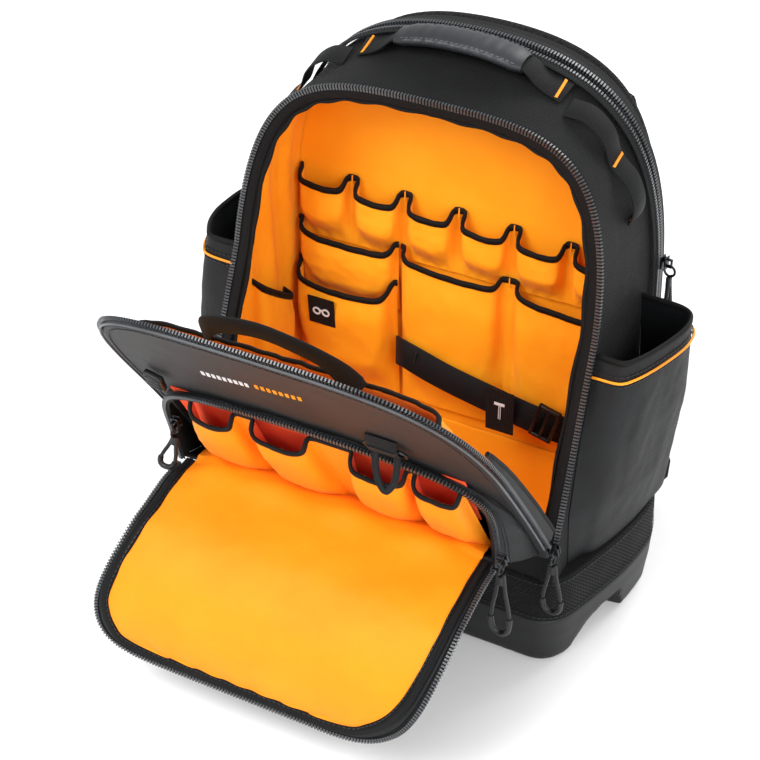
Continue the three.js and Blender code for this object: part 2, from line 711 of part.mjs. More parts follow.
// Pockets from one strip of cloth that is sewn down between its bulges. Each wave is one bulge: its
// mouth runs from and to, its lower end runs between the two values of low, and mouth and base are heights.
function strip(waves, heights, place, thickness) {
  const face = heights.map(([share, swell]) => {
    const row = [];
    waves.forEach((w, n) => {
      const steps = w.steps ?? 8;
      const [lowFrom, lowTo] = w.low ?? [w.from, w.to];
      const left = lowFrom + (w.from - lowFrom) * share;
      const right = lowTo + (w.to - lowTo) * share;
      for (let i = n ? 1 : 0; i <= steps; i += 1) {
        const k = i / steps;
        const arch = Math.sin(Math.PI * k) ** (w.power ?? 0.5);
        const top = w.mouth + (w.slope ?? 0) * (k - 0.5) - w.dip * arch;
        const z = w.base + (top - w.base) * share;
        const out = 0.5 + thickness + w.bulge * swell * arch;
        row.push(place(left + (right - left) * k, z, out));
      }
    });
    return row;
  });
  return cloth(face, thickness);
}
// How far a pocket bulges at each share of its height
const pocketCloth = 1.6;
const heights = [[0, 0.3], [0.35, 0.9], [0.75, 1], [1, 0.85]];
const lowHeights = [[0, 0.05], [0.5, 1], [1, 0.9]];
// Four organiser pockets inside the front pocket, with flat cloth between them
const organiserBase = 155.6;
const organiserMouth = 254;
const pouch = { mouth: organiserMouth, dip: 9, bulge: 18, base: organiserBase, steps: 6 };
const seam = { mouth: organiserMouth, dip: 0, bulge: 0, base: organiserBase, steps: 1 };
add('front_organiser', strip([
  { ...pouch, from: -110, to: -68, low: [-134, -62] },
  { ...seam, from: -68, to: -53, low: [-62, -58] },
  { ...pouch, from: -53, to: 0, low: [-58, 8] },
  { ...seam, from: 0, to: 36, low: [8, 14] },
  { ...pouch, from: 36, to: 87, low: [14, 76] },
  { ...seam, from: 87, to: 91, low: [76, 80] },
  { ...pouch, from: 91, to: 131, low: [80, 135], mouth: organiserMouth - 3, slope: -6, dip: 8 },
], heights, doorBase, pocketCloth), orange);

// The pocket flap: a sheet that hangs forward from its hinge, with rounded free corners
const flapLine = new THREE.CatmullRomCurve3([
  [0, hingeY + 1.6, hingeZ + 2], [0, -236, 160], [0, -276, 149], [0, -306, 124], [0, -321, 88], [0, -325, 51],
].map((p) => new THREE.Vector3(...p)), false, 'centripetal');
const flapLength = flapLine.getLength();
function flapPlace(x, u, lift) {
  const p = flapLine.getPointAt(Math.min(1, Math.max(0, u / flapLength)));
  const t = flapLine.getTangentAt(Math.min(1, Math.max(0, u / flapLength)));
  const past = Math.max(0, u - flapLength);
  return new THREE.Vector3(x, p.y + t.y * past + t.z * lift, p.z + t.z * past - t.y * lift);
}
// The flap's outline: share of its length, and where its left and right edges are at that share
const flapTable = [
  { along: 0, left: -144, right: 145 }, { along: 0.14, left: -144, right: 146 },
  { along: 0.3, left: -143, right: 147 }, { along: 0.46, left: -146, right: 146.5 },
  { along: 0.62, left: -152, right: 142 }, { along: 0.75, left: -157, right: 134 },
  { along: 0.85, left: -156, right: 123 }, { along: 0.92, left: -151, right: 110 },
  { along: 0.965, left: -142, right: 97 }, { along: 0.99, left: -126, right: 82 },
  { along: 1, left: -104, right: 64 },
];
function flapGrid(inset, low, lift) {
  const end = flapLength - inset;
  return flapTable.map((row, n) => {
    const u = low + (end - low) * row.along;
    const trim = n === flapTable.length - 1 ? 0.4 * inset : inset;
    return Array.from({ length: 7 }, (_, i) => {
      const x = row.left + trim + (row.right - row.left - 2 * trim) * (i / 6);
      return flapPlace(x, u, lift);
    });
  });
}
const flapThickness = 2.4;
add('pocket_flap', wall(flapGrid(0, 0, 0), flapGrid(0, 0, -flapThickness)), smoothBlack);
add('flap_lining', wall(flapGrid(10, 1, 2.4), flapGrid(10, 1, 0.9)), orange);
const flapEdge = flapGrid(-3.4, 8, -1.2);
const flapEnd = flapEdge[flapEdge.length - 1].slice(1, 6).reverse();
const flapZipLine = [...flapEdge.map((row) => row[6]), ...flapEnd, ...flapEdge.map((row) => row[0]).reverse()];
add('flap_zip', cord(flapZipLine, slimZipRadius, 36, 4), smoothBlack);

// Inside pockets on the back wall
function wallPlace(x, z, out) {
  return new THREE.Vector3(x, dividerY - out, z);
}
const rowPitch = 52.4;
const rowFall = 2.4;
const rowMouth = 331;
const rowOne = Array.from({ length: 6 }, (_, i) => ({
  from: (i - 3) * rowPitch,
  to: (i - 2) * rowPitch,
  mouth: rowMouth - rowFall * i,
  slope: -rowFall,
  dip: 10,
  bulge: 13,
  base: 262,
  steps: 6,
}));
add('small_pocket_row', strip(rowOne, lowHeights, wallPlace, pocketCloth), orange);
const pocketsBase = 112;
// A pocket in front of another one, whose foot is sewn at base and which is lifted in full from fullZ up
const layered = (lift, fullZ, base = pocketsBase) => (x, z, out) => (
  wallPlace(x, z, out + lift * Math.min(1, (z - base) / (fullZ - base))));
const upperBase = 206;
add('wide_pockets', strip([
  { from: -54, to: 52, mouth: 276, slope: -5, dip: 9, bulge: 15, base: pocketsBase, steps: 9, power: 0.35 },
  { from: 52, to: 158, mouth: 270, slope: -7, dip: 9, bulge: 15, base: pocketsBase, steps: 9, power: 0.35 },
], heights, layered(4.2, 240), pocketCloth), orange);
add('upper_left_pocket', strip([
  { from: -158, to: -57, mouth: 280, slope: -2, dip: 10, bulge: 15, base: upperBase, steps: 9, power: 0.35 },
], heights, layered(4.2, 240, upperBase), pocketCloth), orange);
add('lower_left_pocket', strip([
  { from: -158, to: -57, mouth: 240, dip: 15, bulge: 24, base: pocketsBase, steps: 9, power: 0.4 },
], heights, layered(6.6, upperBase), pocketCloth), orange);

// Pockets on the side walls of the lining
function sidePlace(y, z, out) {
  return new THREE.Vector3(bodyHalfWidth(y, z) - liningIn + 1.4 - out, y, z);
}
both('inner_side_pocket', strip([
  { from: -58, to: 4, mouth: 236, slope: -46, dip: 6, bulge: 16, base: 112, steps: 8, power: 0.7 },
], heights, sidePlace, pocketCloth), orange);

// Webbing strap across the back wall with its slide and two tabs
const toolStrapPath = [[-52, 15, 173], [-40, 6, 178], [0, 4, 168], [50, 4, 158], [100, 6, 148],
  [136, 15, 138], [153, 23, 131]];
add('tool_strap', strap(toolStrapPath, [0, 0.2, 1], 27, webbingThickness, 14), black);
add('strap_slide', boxAt([22, 5, 36], [104, -1, 154], [0, 0.26, 0]), moulded);
add('glasses_tab', boxAt([27, 1.2, 30], [-122, 0.5, 202], [0.1, 0, 0]), black);
add('hammer_tab', boxAt([27, 1.4, 46], [60, -0.9, 152], [0.04, 0, 0]), black);

// Carry handle on the top: a webbing strap with a padded grip
function onBody(share, y, lift) {
  const a = depthPoint(share, 0);
  const b = depthPoint(share, 1);
  const p = insetPoint(share, (y - a.y) / (b.y - a.y), -lift);
  p.y = y;
  return p;
}
function shareAtX(x, y) {
  let best = 1;
  for (let s = 0.3; s <= 1; s += 0.002) {
    if (Math.abs(onBody(s, y, 0).x - x) < Math.abs(onBody(best, y, 0).x - x)) best = s;
  }
  return best;
}
const handleY = 28;
const handleFoot = [92, 84, 78].map((x) => onBody(shareAtX(x, handleY), handleY, 2.4));
const crownZ = onBody(1, handleY, 0).z;
const gripZ = crownZ + 13.7;
const gripHalf = 57;
const handleRight = [...handleFoot.map((p) => [p.x, p.y, p.z]), [70, handleY, crownZ - 2.3],
  [gripHalf + 1, handleY, crownZ + 6.7]];
const gripRow = [[40, gripZ - 3.4], [20, gripZ - 0.6], [0, gripZ], [-20, gripZ - 0.6], [-40, gripZ - 3.4]];
const gripEnds = [[gripHalf, gripZ - 7.2], [-gripHalf, gripZ - 7.2]];
const handlePath = [...handleRight, ...gripRow.map(([x, z]) => [x, handleY, z]),
  ...handleRight.slice().reverse().map(([x, y, z]) => [-x, y, z])];
const topTilt = 0.29;
const handleSide = (k) => new THREE.Vector3(0, 1, topTilt * Math.max(0, (Math.abs(k - 0.5) - 0.3) / 0.2));
const handleWidth = 26;
add('handle_webbing', strap(handlePath, handleSide, handleWidth, webbingThickness, 20), black);
const gripSides = 10;
const gripLoops = [gripEnds[0], ...gripRow, gripEnds[1]].map(([x, z], n, row) => {
  const end = n === 0 || n === row.length - 1 ? 0.84 : 1;
  return Array.from({ length: gripSides }, (_, i) => {
    const a = (i / gripSides) * Math.PI * 2;
    return new THREE.Vector3(x, handleY + 16.5 * end * Math.cos(a), z + 7 * end * Math.sin(a));
  });
});
const gripOuter = stack(gripLoops);
const gripBore = strap(handlePath, handleSide, handleWidth + 1, webbingThickness + 1, 20);
add('handle_grip', fromSolid(toSolid(gripOuter).subtract(toSolid(gripBore))), gripGrey);

// Gear loops of webbing on the shoulders of the top
const loopRow = [[99, 2.2], [113, 9], [128, 9], [141, 2.6], [150, 9], [157, 9], [160, 2.2]];
const loopPath = loopRow.map(([x, lift]) => {
  const p = onBody(shareAtX(x, 16), 16, lift);
  return [p.x, p.y, p.z];
});
const tail = onBody(0.4, 16, 1.6);
loopPath.push([tail.x, tail.y, tail.z]);
const loopSide = (k) => new THREE.Vector3(0.1 * k, 1, topTilt * (1 - k));
both('gear_loop', strap(loopPath, loopSide, 22, 1.6, 18), black);

// Shoulder straps and their lower webbing behind the back
const shoulderPath = [[72, 114.2, 388], [76, 124, 417], [80, 137, 417], [84, 146, 390], [86, 153, 345],
  [90, 158, 290], [101, 154, 220], [112, 146, 160]];
const shoulderSide = (k) => new THREE.Vector3(1, 0, -0.4 * Math.max(0, 1 - 2.4 * k));
both('shoulder_strap', strap(shoulderPath, shoulderSide, 60, 11, 18), black);
// Lower webbing and its anchor tab: a triangle of doubled webbing sewn to the base's rear corner
const anchorX = baseCorner.x;
const anchorY = baseCorner.y;
const lowerPath = [[112.4, 145.8, 158.2], [124, 144, 116], [anchorX - 16, anchorY + 28, 82],
  [anchorX + 2, anchorY + 23, 60], [anchorX + 10, anchorY + 17, 52]];
const webbing = strap(lowerPath, [1, 0, 0.6], 25, webbingThickness, 8);
const tabPlan = [[0, 57], [0, 88], [10, 84], [26, 64], [34, 44], [33, 24], [26, 18], [12, 36]];
const tabSolid = toSolid(stack([0, 3].map((t) => tabPlan.map(([along, z]) => new THREE.Vector3(
  anchorX - 0.8 + along * 0.72 - t * 0.7, anchorY + 0.6 + along * 0.7 + t * 0.72, z)))));
both('lower_webbing', fromSolid(toSolid(webbing).add(tabSolid)), black);

// Zip sliders with a swivel link, and the looped cord pulls on them
const linkRadius = 5;
const linkWire = 1.1;
const pullCord = 2;
function slider(name, at, tip, swing = 0) {
  const body = toSolid(boxAt([8, 5, 12], [0, 0, 0])).add(toSolid(boxAt([3, 8, 8], [0, -3.5, 1])));
  const link = toSolid(new THREE.TorusGeometry(linkRadius, linkWire, 4, 6).rotateY(Math.PI / 2)
    .translate(0, -5.6, -6.5));
  const geometry = fromSolid(body.add(link));
  geometry.rotateX(tip);
  geometry.rotateZ(swing);
  geometry.translate(...at);
  add(`${name}_slider`, geometry, darkMetal);
  const hang = new THREE.Vector3(0, -5.6, -6.5).applyAxisAngle(new THREE.Vector3(1, 0, 0), tip)
    .applyAxisAngle(new THREE.Vector3(0, 0, 1), swing);
  return hang.add(new THREE.Vector3(...at));
}
function pull(name, hang, reach, spread) {
  // A cord doubled into a loop below the slider's link, wider towards its moulded end
  const a = hang.clone().add(new THREE.Vector3(0, 0, -(linkRadius + linkWire - 0.1)));
  const b = a.clone().add(new THREE.Vector3(...reach));
  const side = new THREE.Vector3(...spread);
  const rows = [[0, 0.27], [0.3, 0.5], [0.6, 0.9], [0.82, 1], [0.95, 0.7]];
  const right = rows.map(([k, w]) => a.clone().lerp(b, k).addScaledVector(side, w));
  const left = rows.map(([k, w]) => a.clone().lerp(b, k).addScaledVector(side, -w)).reverse();
  add(`${name}_pull`, cord([...right, b, ...left], pullCord, 13, 4), smoothBlack);
}
pull('main_zip_right', slider('main_zip_right', [173.5, -138.1, 141], 0.35), [2.5, -2, -50], [8, 0, 0]);
pull('main_zip_left', slider('main_zip_left', [-173.5, -138.1, 141], 0.35), [-2.5, -2, -50], [8, 0, 0]);
pull('flap_zip_right', slider('flap_zip_right', [155.9, -206, 177], 0.5), [3, -3, -60], [8, 0, 0]);
pull('flap_zip_left', slider('flap_zip_left', [-141, -213, 212], 0.3), [-8, -6, -30], [7, 0, 0]);
pull('rear_zip', slider('rear_zip', [176.2, 66, 306], 0, 1.4), [2, 0, -48], [0, 7, 0]);

// Metal ring on a webbing tab above the front pocket, with a loop of webbing hanging from it
const ringX = 78;
const ringV = 205;
const ringOut = doorPad + 5;
const ringCorners = [[-19, 3], [-14, 8], [14, 8], [19, 3], [19, -3], [14, -8], [-14, -8], [-19, -3]];
const ringFace = (inset, out) => ringCorners.map(([x, v]) => (
  doorPlace(ringX + x - Math.sign(x) * inset, ringV + v - Math.sign(v) * inset, out)));
add('web_ring', fromSolid(toSolid(stack([ringFace(0, ringOut - 1.2), ringFace(0, ringOut + 1.2)])).subtract(
  toSolid(stack([ringFace(2.6, ringOut - 3), ringFace(2.6, ringOut + 3)])))), darkMetal);
const tabLine = [[19, -3.4], [12, 1.4], [6, 2.7], [-1, 2.7]].map(([v, out]) => (
  doorPlace(ringX, ringV + v, ringOut + out)));
add('ring_tab', strap(tabLine.map((p) => [p.x, p.y, p.z]), [1, 0, 0], 27, 1.6, 6), black);
const loopTop = doorPlace(ringX, ringV - 5, ringOut + 2.4);
const hangingLoop = [[-9, 0, 0], [-9, -0.5, -12], [-6, -1, -27], [0, -1.5, -34], [6, -1, -27], [9, -0.5, -12],
  [9, 0, 0]].map(([x, y, z]) => [ringX + x, loopTop.y + y, loopTop.z + z]);
add('ring_loop', strap(hangingLoop, [0, -1, 0.1], 2, 5, 14), black);
const buckleAt = doorPlace(-131, 194, doorPad + 6.7);
add('side_buckle', boxAt([17, 8, 22], [buckleAt.x, buckleAt.y, buckleAt.z], [0.5, 0.2, 0]), moulded);

// Inside of the door: an organiser pocket and an arched webbing handle
function doorInside(x, z, out) {
  return doorPlace(x, z, -(0.4 + out));
}
add('door_inner_pocket', strip([
  { from: -140, to: 140, mouth: 262, dip: 4, bulge: 20, base: 30, steps: 12, power: 0.35 },
], heights, doorInside, pocketCloth), orange);
const archPath = [[-64, 262, 12], [-62, 276, 14], [-50, 300, 17], [-22, 315, 19], [0, 318, 20], [22, 315, 19],
  [50, 300, 17], [62, 276, 14], [64, 262, 12]].map(([x, v, inside]) => doorPlace(x, v, -inside));
const archLine = archPath.map((p) => [p.x, p.y, p.z]);
add('door_handle', strap(archLine, [0, 0.8, 0.6], 20, webbingThickness, 16), black);

export default bag;
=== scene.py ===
# A tool backpack on a moulded base, open at the front with its pocket flap hanging down.
# Lengths in this script are millimetres, and a mesh gets them in metres. The front looks along -Y.
import math

import bpy
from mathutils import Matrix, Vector, noise


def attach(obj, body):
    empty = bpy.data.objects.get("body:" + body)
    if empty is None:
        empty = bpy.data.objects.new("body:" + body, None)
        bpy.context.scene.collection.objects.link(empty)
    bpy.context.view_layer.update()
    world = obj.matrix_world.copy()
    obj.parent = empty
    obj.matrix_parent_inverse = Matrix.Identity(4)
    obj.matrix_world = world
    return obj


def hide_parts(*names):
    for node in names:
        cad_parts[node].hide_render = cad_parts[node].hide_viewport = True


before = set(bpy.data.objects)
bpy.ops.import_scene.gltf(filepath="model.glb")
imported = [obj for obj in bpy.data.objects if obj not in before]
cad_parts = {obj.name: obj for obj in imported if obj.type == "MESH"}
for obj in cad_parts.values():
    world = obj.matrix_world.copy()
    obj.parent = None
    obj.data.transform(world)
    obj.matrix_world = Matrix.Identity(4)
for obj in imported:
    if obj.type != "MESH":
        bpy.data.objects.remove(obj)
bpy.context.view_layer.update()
mm = 0.001
print("frame loaded")

# The camera stands to the right of the front and looks down on the pack
cameraSet = {"place": (569.3, -1197.8, 1128.5), "target": (-54.9, -12.4, 155.1), "lens": 85.95}


def makeCamera():
    data = bpy.data.cameras.new("camera")
    data.lens = cameraSet["lens"]
    data.sensor_width = 36
    data.clip_start = 0.05
    camera = bpy.data.objects.new("camera", data)
    bpy.context.scene.collection.objects.link(camera)
    place = Vector(cameraSet["place"])
    camera.location = place * mm
    camera.rotation_euler = (Vector(cameraSet["target"]) - place).to_track_quat("-Z", "Y").to_euler()
    bpy.context.scene.camera = camera


makeCamera()
print("camera placed")


# Materials
def linear(hexColour):
    parts = [int(hexColour[i:i + 2], 16) / 255 for i in (1, 3, 5)]
    return tuple(c / 12.92 if c <= 0.04045 else ((c + 0.055) / 1.055) ** 2.4 for c in parts) + (1,)


def addNode(tree, kind, settings=None, links=None):
    # A setting or a link names an input by its label or its number, or a setting of the node itself.
    node = tree.nodes.new(kind)
    for key, value in (settings or {}).items():
        if isinstance(key, str) and hasattr(node, key):
            setattr(node, key, value)
        else:
            node.inputs[key].default_value = value
    for key, source in (links or {}).items():
        tree.links.new(source, node.inputs[key])
    return node


def startMaterial(name):
    material = bpy.data.materials.new(name)
    material.use_nodes = True
    material.node_tree.nodes.clear()
    return material, material.node_tree


def endMaterial(tree, shaderSettings, shaderLinks):
    shader = addNode(tree, "ShaderNodeBsdfPrincipled", shaderSettings, shaderLinks)
    addNode(tree, "ShaderNodeOutputMaterial", {}, {"Surface": shader.outputs[0]})


waveTurn = 0.31416  # a wave texture's bands repeat each waveTurn units over its scale


def wovenMaterial(name, values):
    # Plain weave on the piece's own map, whose units are metres: two sets of threads that pass over
    # and under each other, with a slow change of tone over the cloth and lighter rubbed places.
    material, tree = startMaterial(name)
    onCloth = addNode(tree, "ShaderNodeUVMap", {"uv_map": "cloth"}).outputs[0]
    pitch = values["pitch"] * mm
    bands = waveTurn / pitch
    warp = addNode(tree, "ShaderNodeTexWave", {"bands_direction": "X", "Scale": bands}, {"Vector": onCloth})
    weft = addNode(tree, "ShaderNodeTexWave", {"bands_direction": "Y", "Scale": bands}, {"Vector": onCloth})
    over = addNode(tree, "ShaderNodeTexChecker", {"Scale": 1 / pitch}, {"Vector": onCloth})
    thread = addNode(tree, "ShaderNodeMix", {},
                     {0: over.outputs["Fac"], 2: warp.outputs["Fac"], 3: weft.outputs["Fac"]})
    place = addNode(tree, "ShaderNodeTexCoord").outputs["Object"]
    blotch = addNode(tree, "ShaderNodeTexNoise", {"Scale": 14, "Detail": 4, "Roughness": 0.6},
                     {"Vector": place})
    fuzz = addNode(tree, "ShaderNodeTexNoise", {"Scale": 900, "Detail": 2}, {"Vector": place})
    tone = addNode(tree, "ShaderNodeValToRGB", {}, {"Fac": blotch.outputs["Fac"]})
    tone.color_ramp.elements[0].position = 0.32
    tone.color_ramp.elements[0].color = linear(values["dark"])
    tone.color_ramp.elements[1].position = 0.68
    tone.color_ramp.elements[1].color = linear(values["light"])
    # The threads are darker where they dip under each other: painted shade in the grooves of the weave
    grooveShade = addNode(tree, "ShaderNodeMapRange", {"To Min": values["grooveShade"], "To Max": 1.0},
                     {"Value": thread.outputs[0]})
    shade = addNode(tree, "ShaderNodeVectorMath", {"operation": "SCALE"},
                    {0: tone.outputs[0], "Scale": grooveShade.outputs[0]})
    low, high = values["rough"] - 0.08, values["rough"] + 0.08
    rough = addNode(tree, "ShaderNodeMapRange", {"To Min": low, "To Max": high},
                    {"Value": fuzz.outputs["Fac"]})
    weave = addNode(tree, "ShaderNodeBump", {"Strength": values["relief"], "Distance": 0.35 * pitch},
                    {"Height": thread.outputs[0]})
    crease = addNode(tree, "ShaderNodeTexNoise",
                     {"Scale": 45, "Detail": 5, "Roughness": 0.65, "Distortion": 0.6}, {"Vector": place})
    relief = addNode(tree, "ShaderNodeBump", {"Strength": values["crease"], "Distance": 0.0012},
                     {"Height": crease.outputs["Fac"], "Normal": weave.outputs[0]})
    surface = {"Sheen Weight": values["sheen"], "Sheen Roughness": 0.4, "Specular IOR Level": values["gloss"]}
    endMaterial(tree, surface,
                {"Base Color": shade.outputs[0], "Roughness": rough.outputs[0], "Normal": relief.outputs[0]})
    return material


# Thread spacing in millimetres. The real lining has threads 0.3 mm apart, too fine to show, so it is
# drawn coarser.
# The weave's grooves are darkened to the given share of the colour, as painted shade.
liningCloth = {"pitch": 0.9, "dark": "#FFA010", "light": "#FFAA1C", "grooveShade": 0.9, "rough": 0.62,
               "relief": 0.25, "crease": 0.35, "sheen": 0.05, "gloss": 0.3}
# The flap's copy of the lining nylon, in another tone for how the light falls on the flap: painted light
flapLitCloth = {"pitch": 0.9, "dark": "#F58A06", "light": "#FA930C", "grooveShade": 0.92, "rough": 0.6,
             "relief": 0.22, "crease": 0.3, "sheen": 0.03, "gloss": 0.25}
redCloth = {"pitch": 0.9, "dark": "#FF4A20", "light": "#FF6434", "grooveShade": 0.85, "rough": 0.65, "relief": 0.3,
            "crease": 0.3, "sheen": 0.03, "gloss": 0.2}
canvasCloth = {"pitch": 1.25, "dark": "#08090A", "light": "#121315", "grooveShade": 0.45, "rough": 0.72,
               "relief": 0.8, "crease": 0.3, "sheen": 0.02, "gloss": 0.22}
bandCloth = {"pitch": 2.1, "dark": "#08090A", "light": "#131416", "grooveShade": 0.3, "rough": 0.78, "relief": 1.0,
             "crease": 0.2, "sheen": 0.02, "gloss": 0.2}
coatedCloth = {"pitch": 0.8, "dark": "#0B0C0E", "light": "#141618", "grooveShade": 0.85, "rough": 0.58,
               "relief": 0.3, "crease": 0.45, "sheen": 0.02, "gloss": 0.26}

lining = wovenMaterial("liningNylon", liningCloth)  # coated nylon, bright and slightly glossy
flapLitLining = wovenMaterial("liningNylonLit", flapLitCloth)  # the same nylon in another tone, painted light for how the light falls on the flap
redLining = wovenMaterial("pocketNylonRed", redCloth)  # the pockets' inner face
canvas = wovenMaterial("polyesterCanvas", canvasCloth)  # dense plain weave with a dry surface
ballistic = wovenMaterial("ballisticWeave", bandCloth)  # thick threads that stand out one by one
coated = wovenMaterial("coatedPolyester", coatedCloth)  # a coating fills the weave and gives a soft sheen


def webbingMaterial(name, values):
    # Woven tape: wales along its length and fine picks across it.
    material, tree = startMaterial(name)
    onCloth = addNode(tree, "ShaderNodeUVMap", {"uv_map": "cloth"}).outputs[0]
    along, across = waveTurn / (values["wale"] * mm), waveTurn / (values["pick"] * mm)
    wales = addNode(tree, "ShaderNodeTexWave", {"bands_direction": "X", "Scale": along}, {"Vector": onCloth})
    picks = addNode(tree, "ShaderNodeTexWave", {"bands_direction": "Y", "Scale": across}, {"Vector": onCloth})
    both = addNode(tree, "ShaderNodeMath", {"operation": "MULTIPLY_ADD", 2: 0.0},
                   {0: wales.outputs["Fac"], 1: picks.outputs["Fac"]})
    place = addNode(tree, "ShaderNodeTexCoord").outputs["Object"]
    blotch = addNode(tree, "ShaderNodeTexNoise", {"Scale": 30, "Detail": 4}, {"Vector": place})
    tone = addNode(tree, "ShaderNodeMix",
                   {"data_type": "RGBA", 6: linear(values["dark"]), 7: linear(values["light"])},
                   {0: blotch.outputs["Fac"]})
    # Colour darker between the wales and picks and a little lighter on their tops: painted shade and
    # highlight of the weave
    weaveShade = addNode(tree, "ShaderNodeMapRange", {"To Min": 0.55, "To Max": 1.1}, {"Value": both.outputs[0]})
    shade = addNode(tree, "ShaderNodeVectorMath", {"operation": "SCALE"},
                    {0: tone.outputs[2], "Scale": weaveShade.outputs[0]})
    rough = addNode(tree, "ShaderNodeMapRange", {"To Min": 0.55, "To Max": 0.8},
                    {"Value": blotch.outputs["Fac"]})
    relief = addNode(tree, "ShaderNodeBump", {"Strength": 0.8, "Distance": 0.0004},
                     {"Height": both.outputs[0]})
    endMaterial(tree, {"Sheen Weight": 0.02, "Sheen Roughness": 0.4, "Specular IOR Level": 0.2},
                {"Base Color": shade.outputs[0], "Roughness": rough.outputs[0], "Normal": relief.outputs[0]})
    return material


# Polyester webbing has broad wales, grosgrain only cross ribs, and zip tape a fine twill
webbing = webbingMaterial("polyesterWebbing", {
    "wale": 2.0, "pick": 1.1, "dark": "#0A0B0C", "light": "#141517"})
tape = webbingMaterial("grosgrainBinding", {"wale": 6.0, "pick": 1.3, "dark": "#060607", "light": "#0D0E0F"})
zipTape = webbingMaterial("zipTape", {"wale": 1.6, "pick": 1.0, "dark": "#08090A", "light": "#101112"})
loopTape = webbingMaterial("greyLoopTape", {"wale": 1.2, "pick": 1.0, "dark": "#141517", "light": "#2C2E31"})
# Spacer mesh is knitted with open cells, so it looks dry and pitted
padMesh = wovenMaterial("airMesh", {
    "pitch": 2.6, "dark": "#08090A", "light": "#131416", "grooveShade": 0.25, "rough": 0.85, "relief": 1.0,
    "crease": 0.2, "sheen": 0.03, "gloss": 0.15})


def grainMaterial(name, values):
    # Moulded polymer, thread or plated metal: a fine grain, uneven gloss and pale rubbed patches.
    material, tree = startMaterial(name)
    place = addNode(tree, "ShaderNodeTexCoord").outputs["Object"]
    grain = addNode(tree, "ShaderNodeTexVoronoi", {"Scale": 1000 / values["grain"], "feature": "SMOOTH_F1"},
                    {"Vector": place})
    cloud = addNode(tree, "ShaderNodeTexNoise", {"Scale": 18, "Detail": 5, "Roughness": 0.6},
                    {"Vector": place})
    tone = addNode(tree, "ShaderNodeValToRGB", {}, {"Fac": cloud.outputs["Fac"]})
    tone.color_ramp.elements[0].position = 0.35
    tone.color_ramp.elements[0].color = linear(values["dark"])
    tone.color_ramp.elements[1].position = 0.72
    tone.color_ramp.elements[1].color = linear(values["light"])
    low, high = values["rough"] - 0.07, values["rough"] + 0.09
    rough = addNode(tree, "ShaderNodeMapRange", {"To Min": low, "To Max": high},
                    {"Value": cloud.outputs["Fac"]})
    relief = addNode(tree, "ShaderNodeBump", {"Strength": values["relief"], "Distance": 0.0003},
                     {"Height": grain.outputs["Distance"]})
    endMaterial(tree, {"Specular IOR Level": values.get("gloss", 0.4), "Metallic": values.get("metal", 0)},
                {"Base Color": tone.outputs[0], "Roughness": rough.outputs[0], "Normal": relief.outputs[0]})
    return material


# Moulded with a spark-eroded grain, matte on the base and softer on the grip
baseRubber = grainMaterial("mouldedBaseRubber", {
    "grain": 1.4, "dark": "#0C0D0E", "light": "#151618", "rough": 0.5, "relief": 0.35})
gripRubber = grainMaterial("mouldedGripRubber", {
    "grain": 0.9, "dark": "#1E2124", "light": "#2A2D31", "rough": 0.42, "relief": 0.25})
buckleNylon = grainMaterial("mouldedNylon", {
    "grain": 1.0, "dark": "#0A0B0C", "light": "#131415", "rough": 0.38, "relief": 0.2})
pullRubber = grainMaterial("pullRubber", {
    "grain": 1.1, "dark": "#0E0F10", "light": "#1A1B1D", "rough": 0.4, "relief": 0.3})
# Plated die casting, dark with clear highlights
blackNickel = grainMaterial("blackNickel", {
    "grain": 2.5, "dark": "#26282A", "light": "#3A3D40", "rough": 0.28, "relief": 0.05, "metal": 1.0})
# Extruded monofilament, glossy so each turn of the coil has a bright spot; its grey, lighter than the black
# zip tape, is painted highlight
coilNylonPaintedHighlight = grainMaterial("coilNylonPaintedHighlight", {
    "grain": 0.8, "dark": "#303235", "light": "#45484C", "rough": 0.28, "gloss": 0.8, "relief": 0.15})
# Covered piping cord and bonded thread, both with a faint twist
pipingOrange = grainMaterial("pipingOrange", {
    "grain": 1.2, "dark": "#F08A08", "light": "#FFA41C", "rough": 0.4, "relief": 0.25})
pipingGrey = grainMaterial("pipingGrey", {
    "grain": 1.2, "dark": "#3E4144", "light": "#595D61", "rough": 0.4, "relief": 0.25})
threadOrange = grainMaterial("threadOrange", {
    "grain": 0.7, "dark": "#F28A10", "light": "#FFA62A", "rough": 0.5, "relief": 0.5})
threadBlack = grainMaterial("threadBlack", {
    "grain": 0.7, "dark": "#16181A", "light": "#232629", "rough": 0.5, "relief": 0.5})
# Thick screen ink, off-white with a soft gloss
labelWhite = grainMaterial("labelWhite", {
    "grain": 0.9, "dark": "#C9CBCD", "light": "#E2E4E6", "rough": 0.5, "relief": 0.2})
print("materials made")


# Shared makers of meshes
def clamp(value, low=0.0, high=1.0):
    return max(low, min(high, value))


def smooth(value):
    k = clamp(value)
    return k * k * (3 - 2 * k)


def mix(a, b, k):
    return a + (b - a) * k


def ripple(x, y, z, size, seed=0.0):
    # Soft noise from -1 to 1 whose folds are about size millimetres across
    return noise.noise(Vector((x / size + seed * 7.3, y / size - seed * 3.1, z / size + seed)))


def curvePoint(points, t):
    # A centripetal curve through the points
    last = len(points) - 1
    i = min(int(last * t), last - 1)
    w = last * t - i
    p1, p2 = points[i], points[i + 1]
    p0 = points[i - 1] if i else p1 * 2 - p2
    p3 = points[i + 2] if i + 2 <= last else p2 * 2 - p1
    d0, d1, d2 = [max((b - a).length, 1e-6) ** 0.5 for a, b in ((p0, p1), (p1, p2), (p2, p3))]
    t1 = ((p1 - p0) / d0 - (p2 - p0) / (d0 + d1) + (p2 - p1) / d1) * d1
    t2 = ((p2 - p1) / d1 - (p3 - p1) / (d1 + d2) + (p3 - p2) / d2) * d1
    return p1 + t1 * w + (p2 * 3 - p1 * 3 - t1 * 2 - t2) * w * w + (p1 * 2 - p2 * 2 + t1 + t2) * w ** 3


def pathLengths(points):
    sums = [0.0]
    for a, b in zip(points, points[1:]):
        sums.append(sums[-1] + (b - a).length)
    return sums


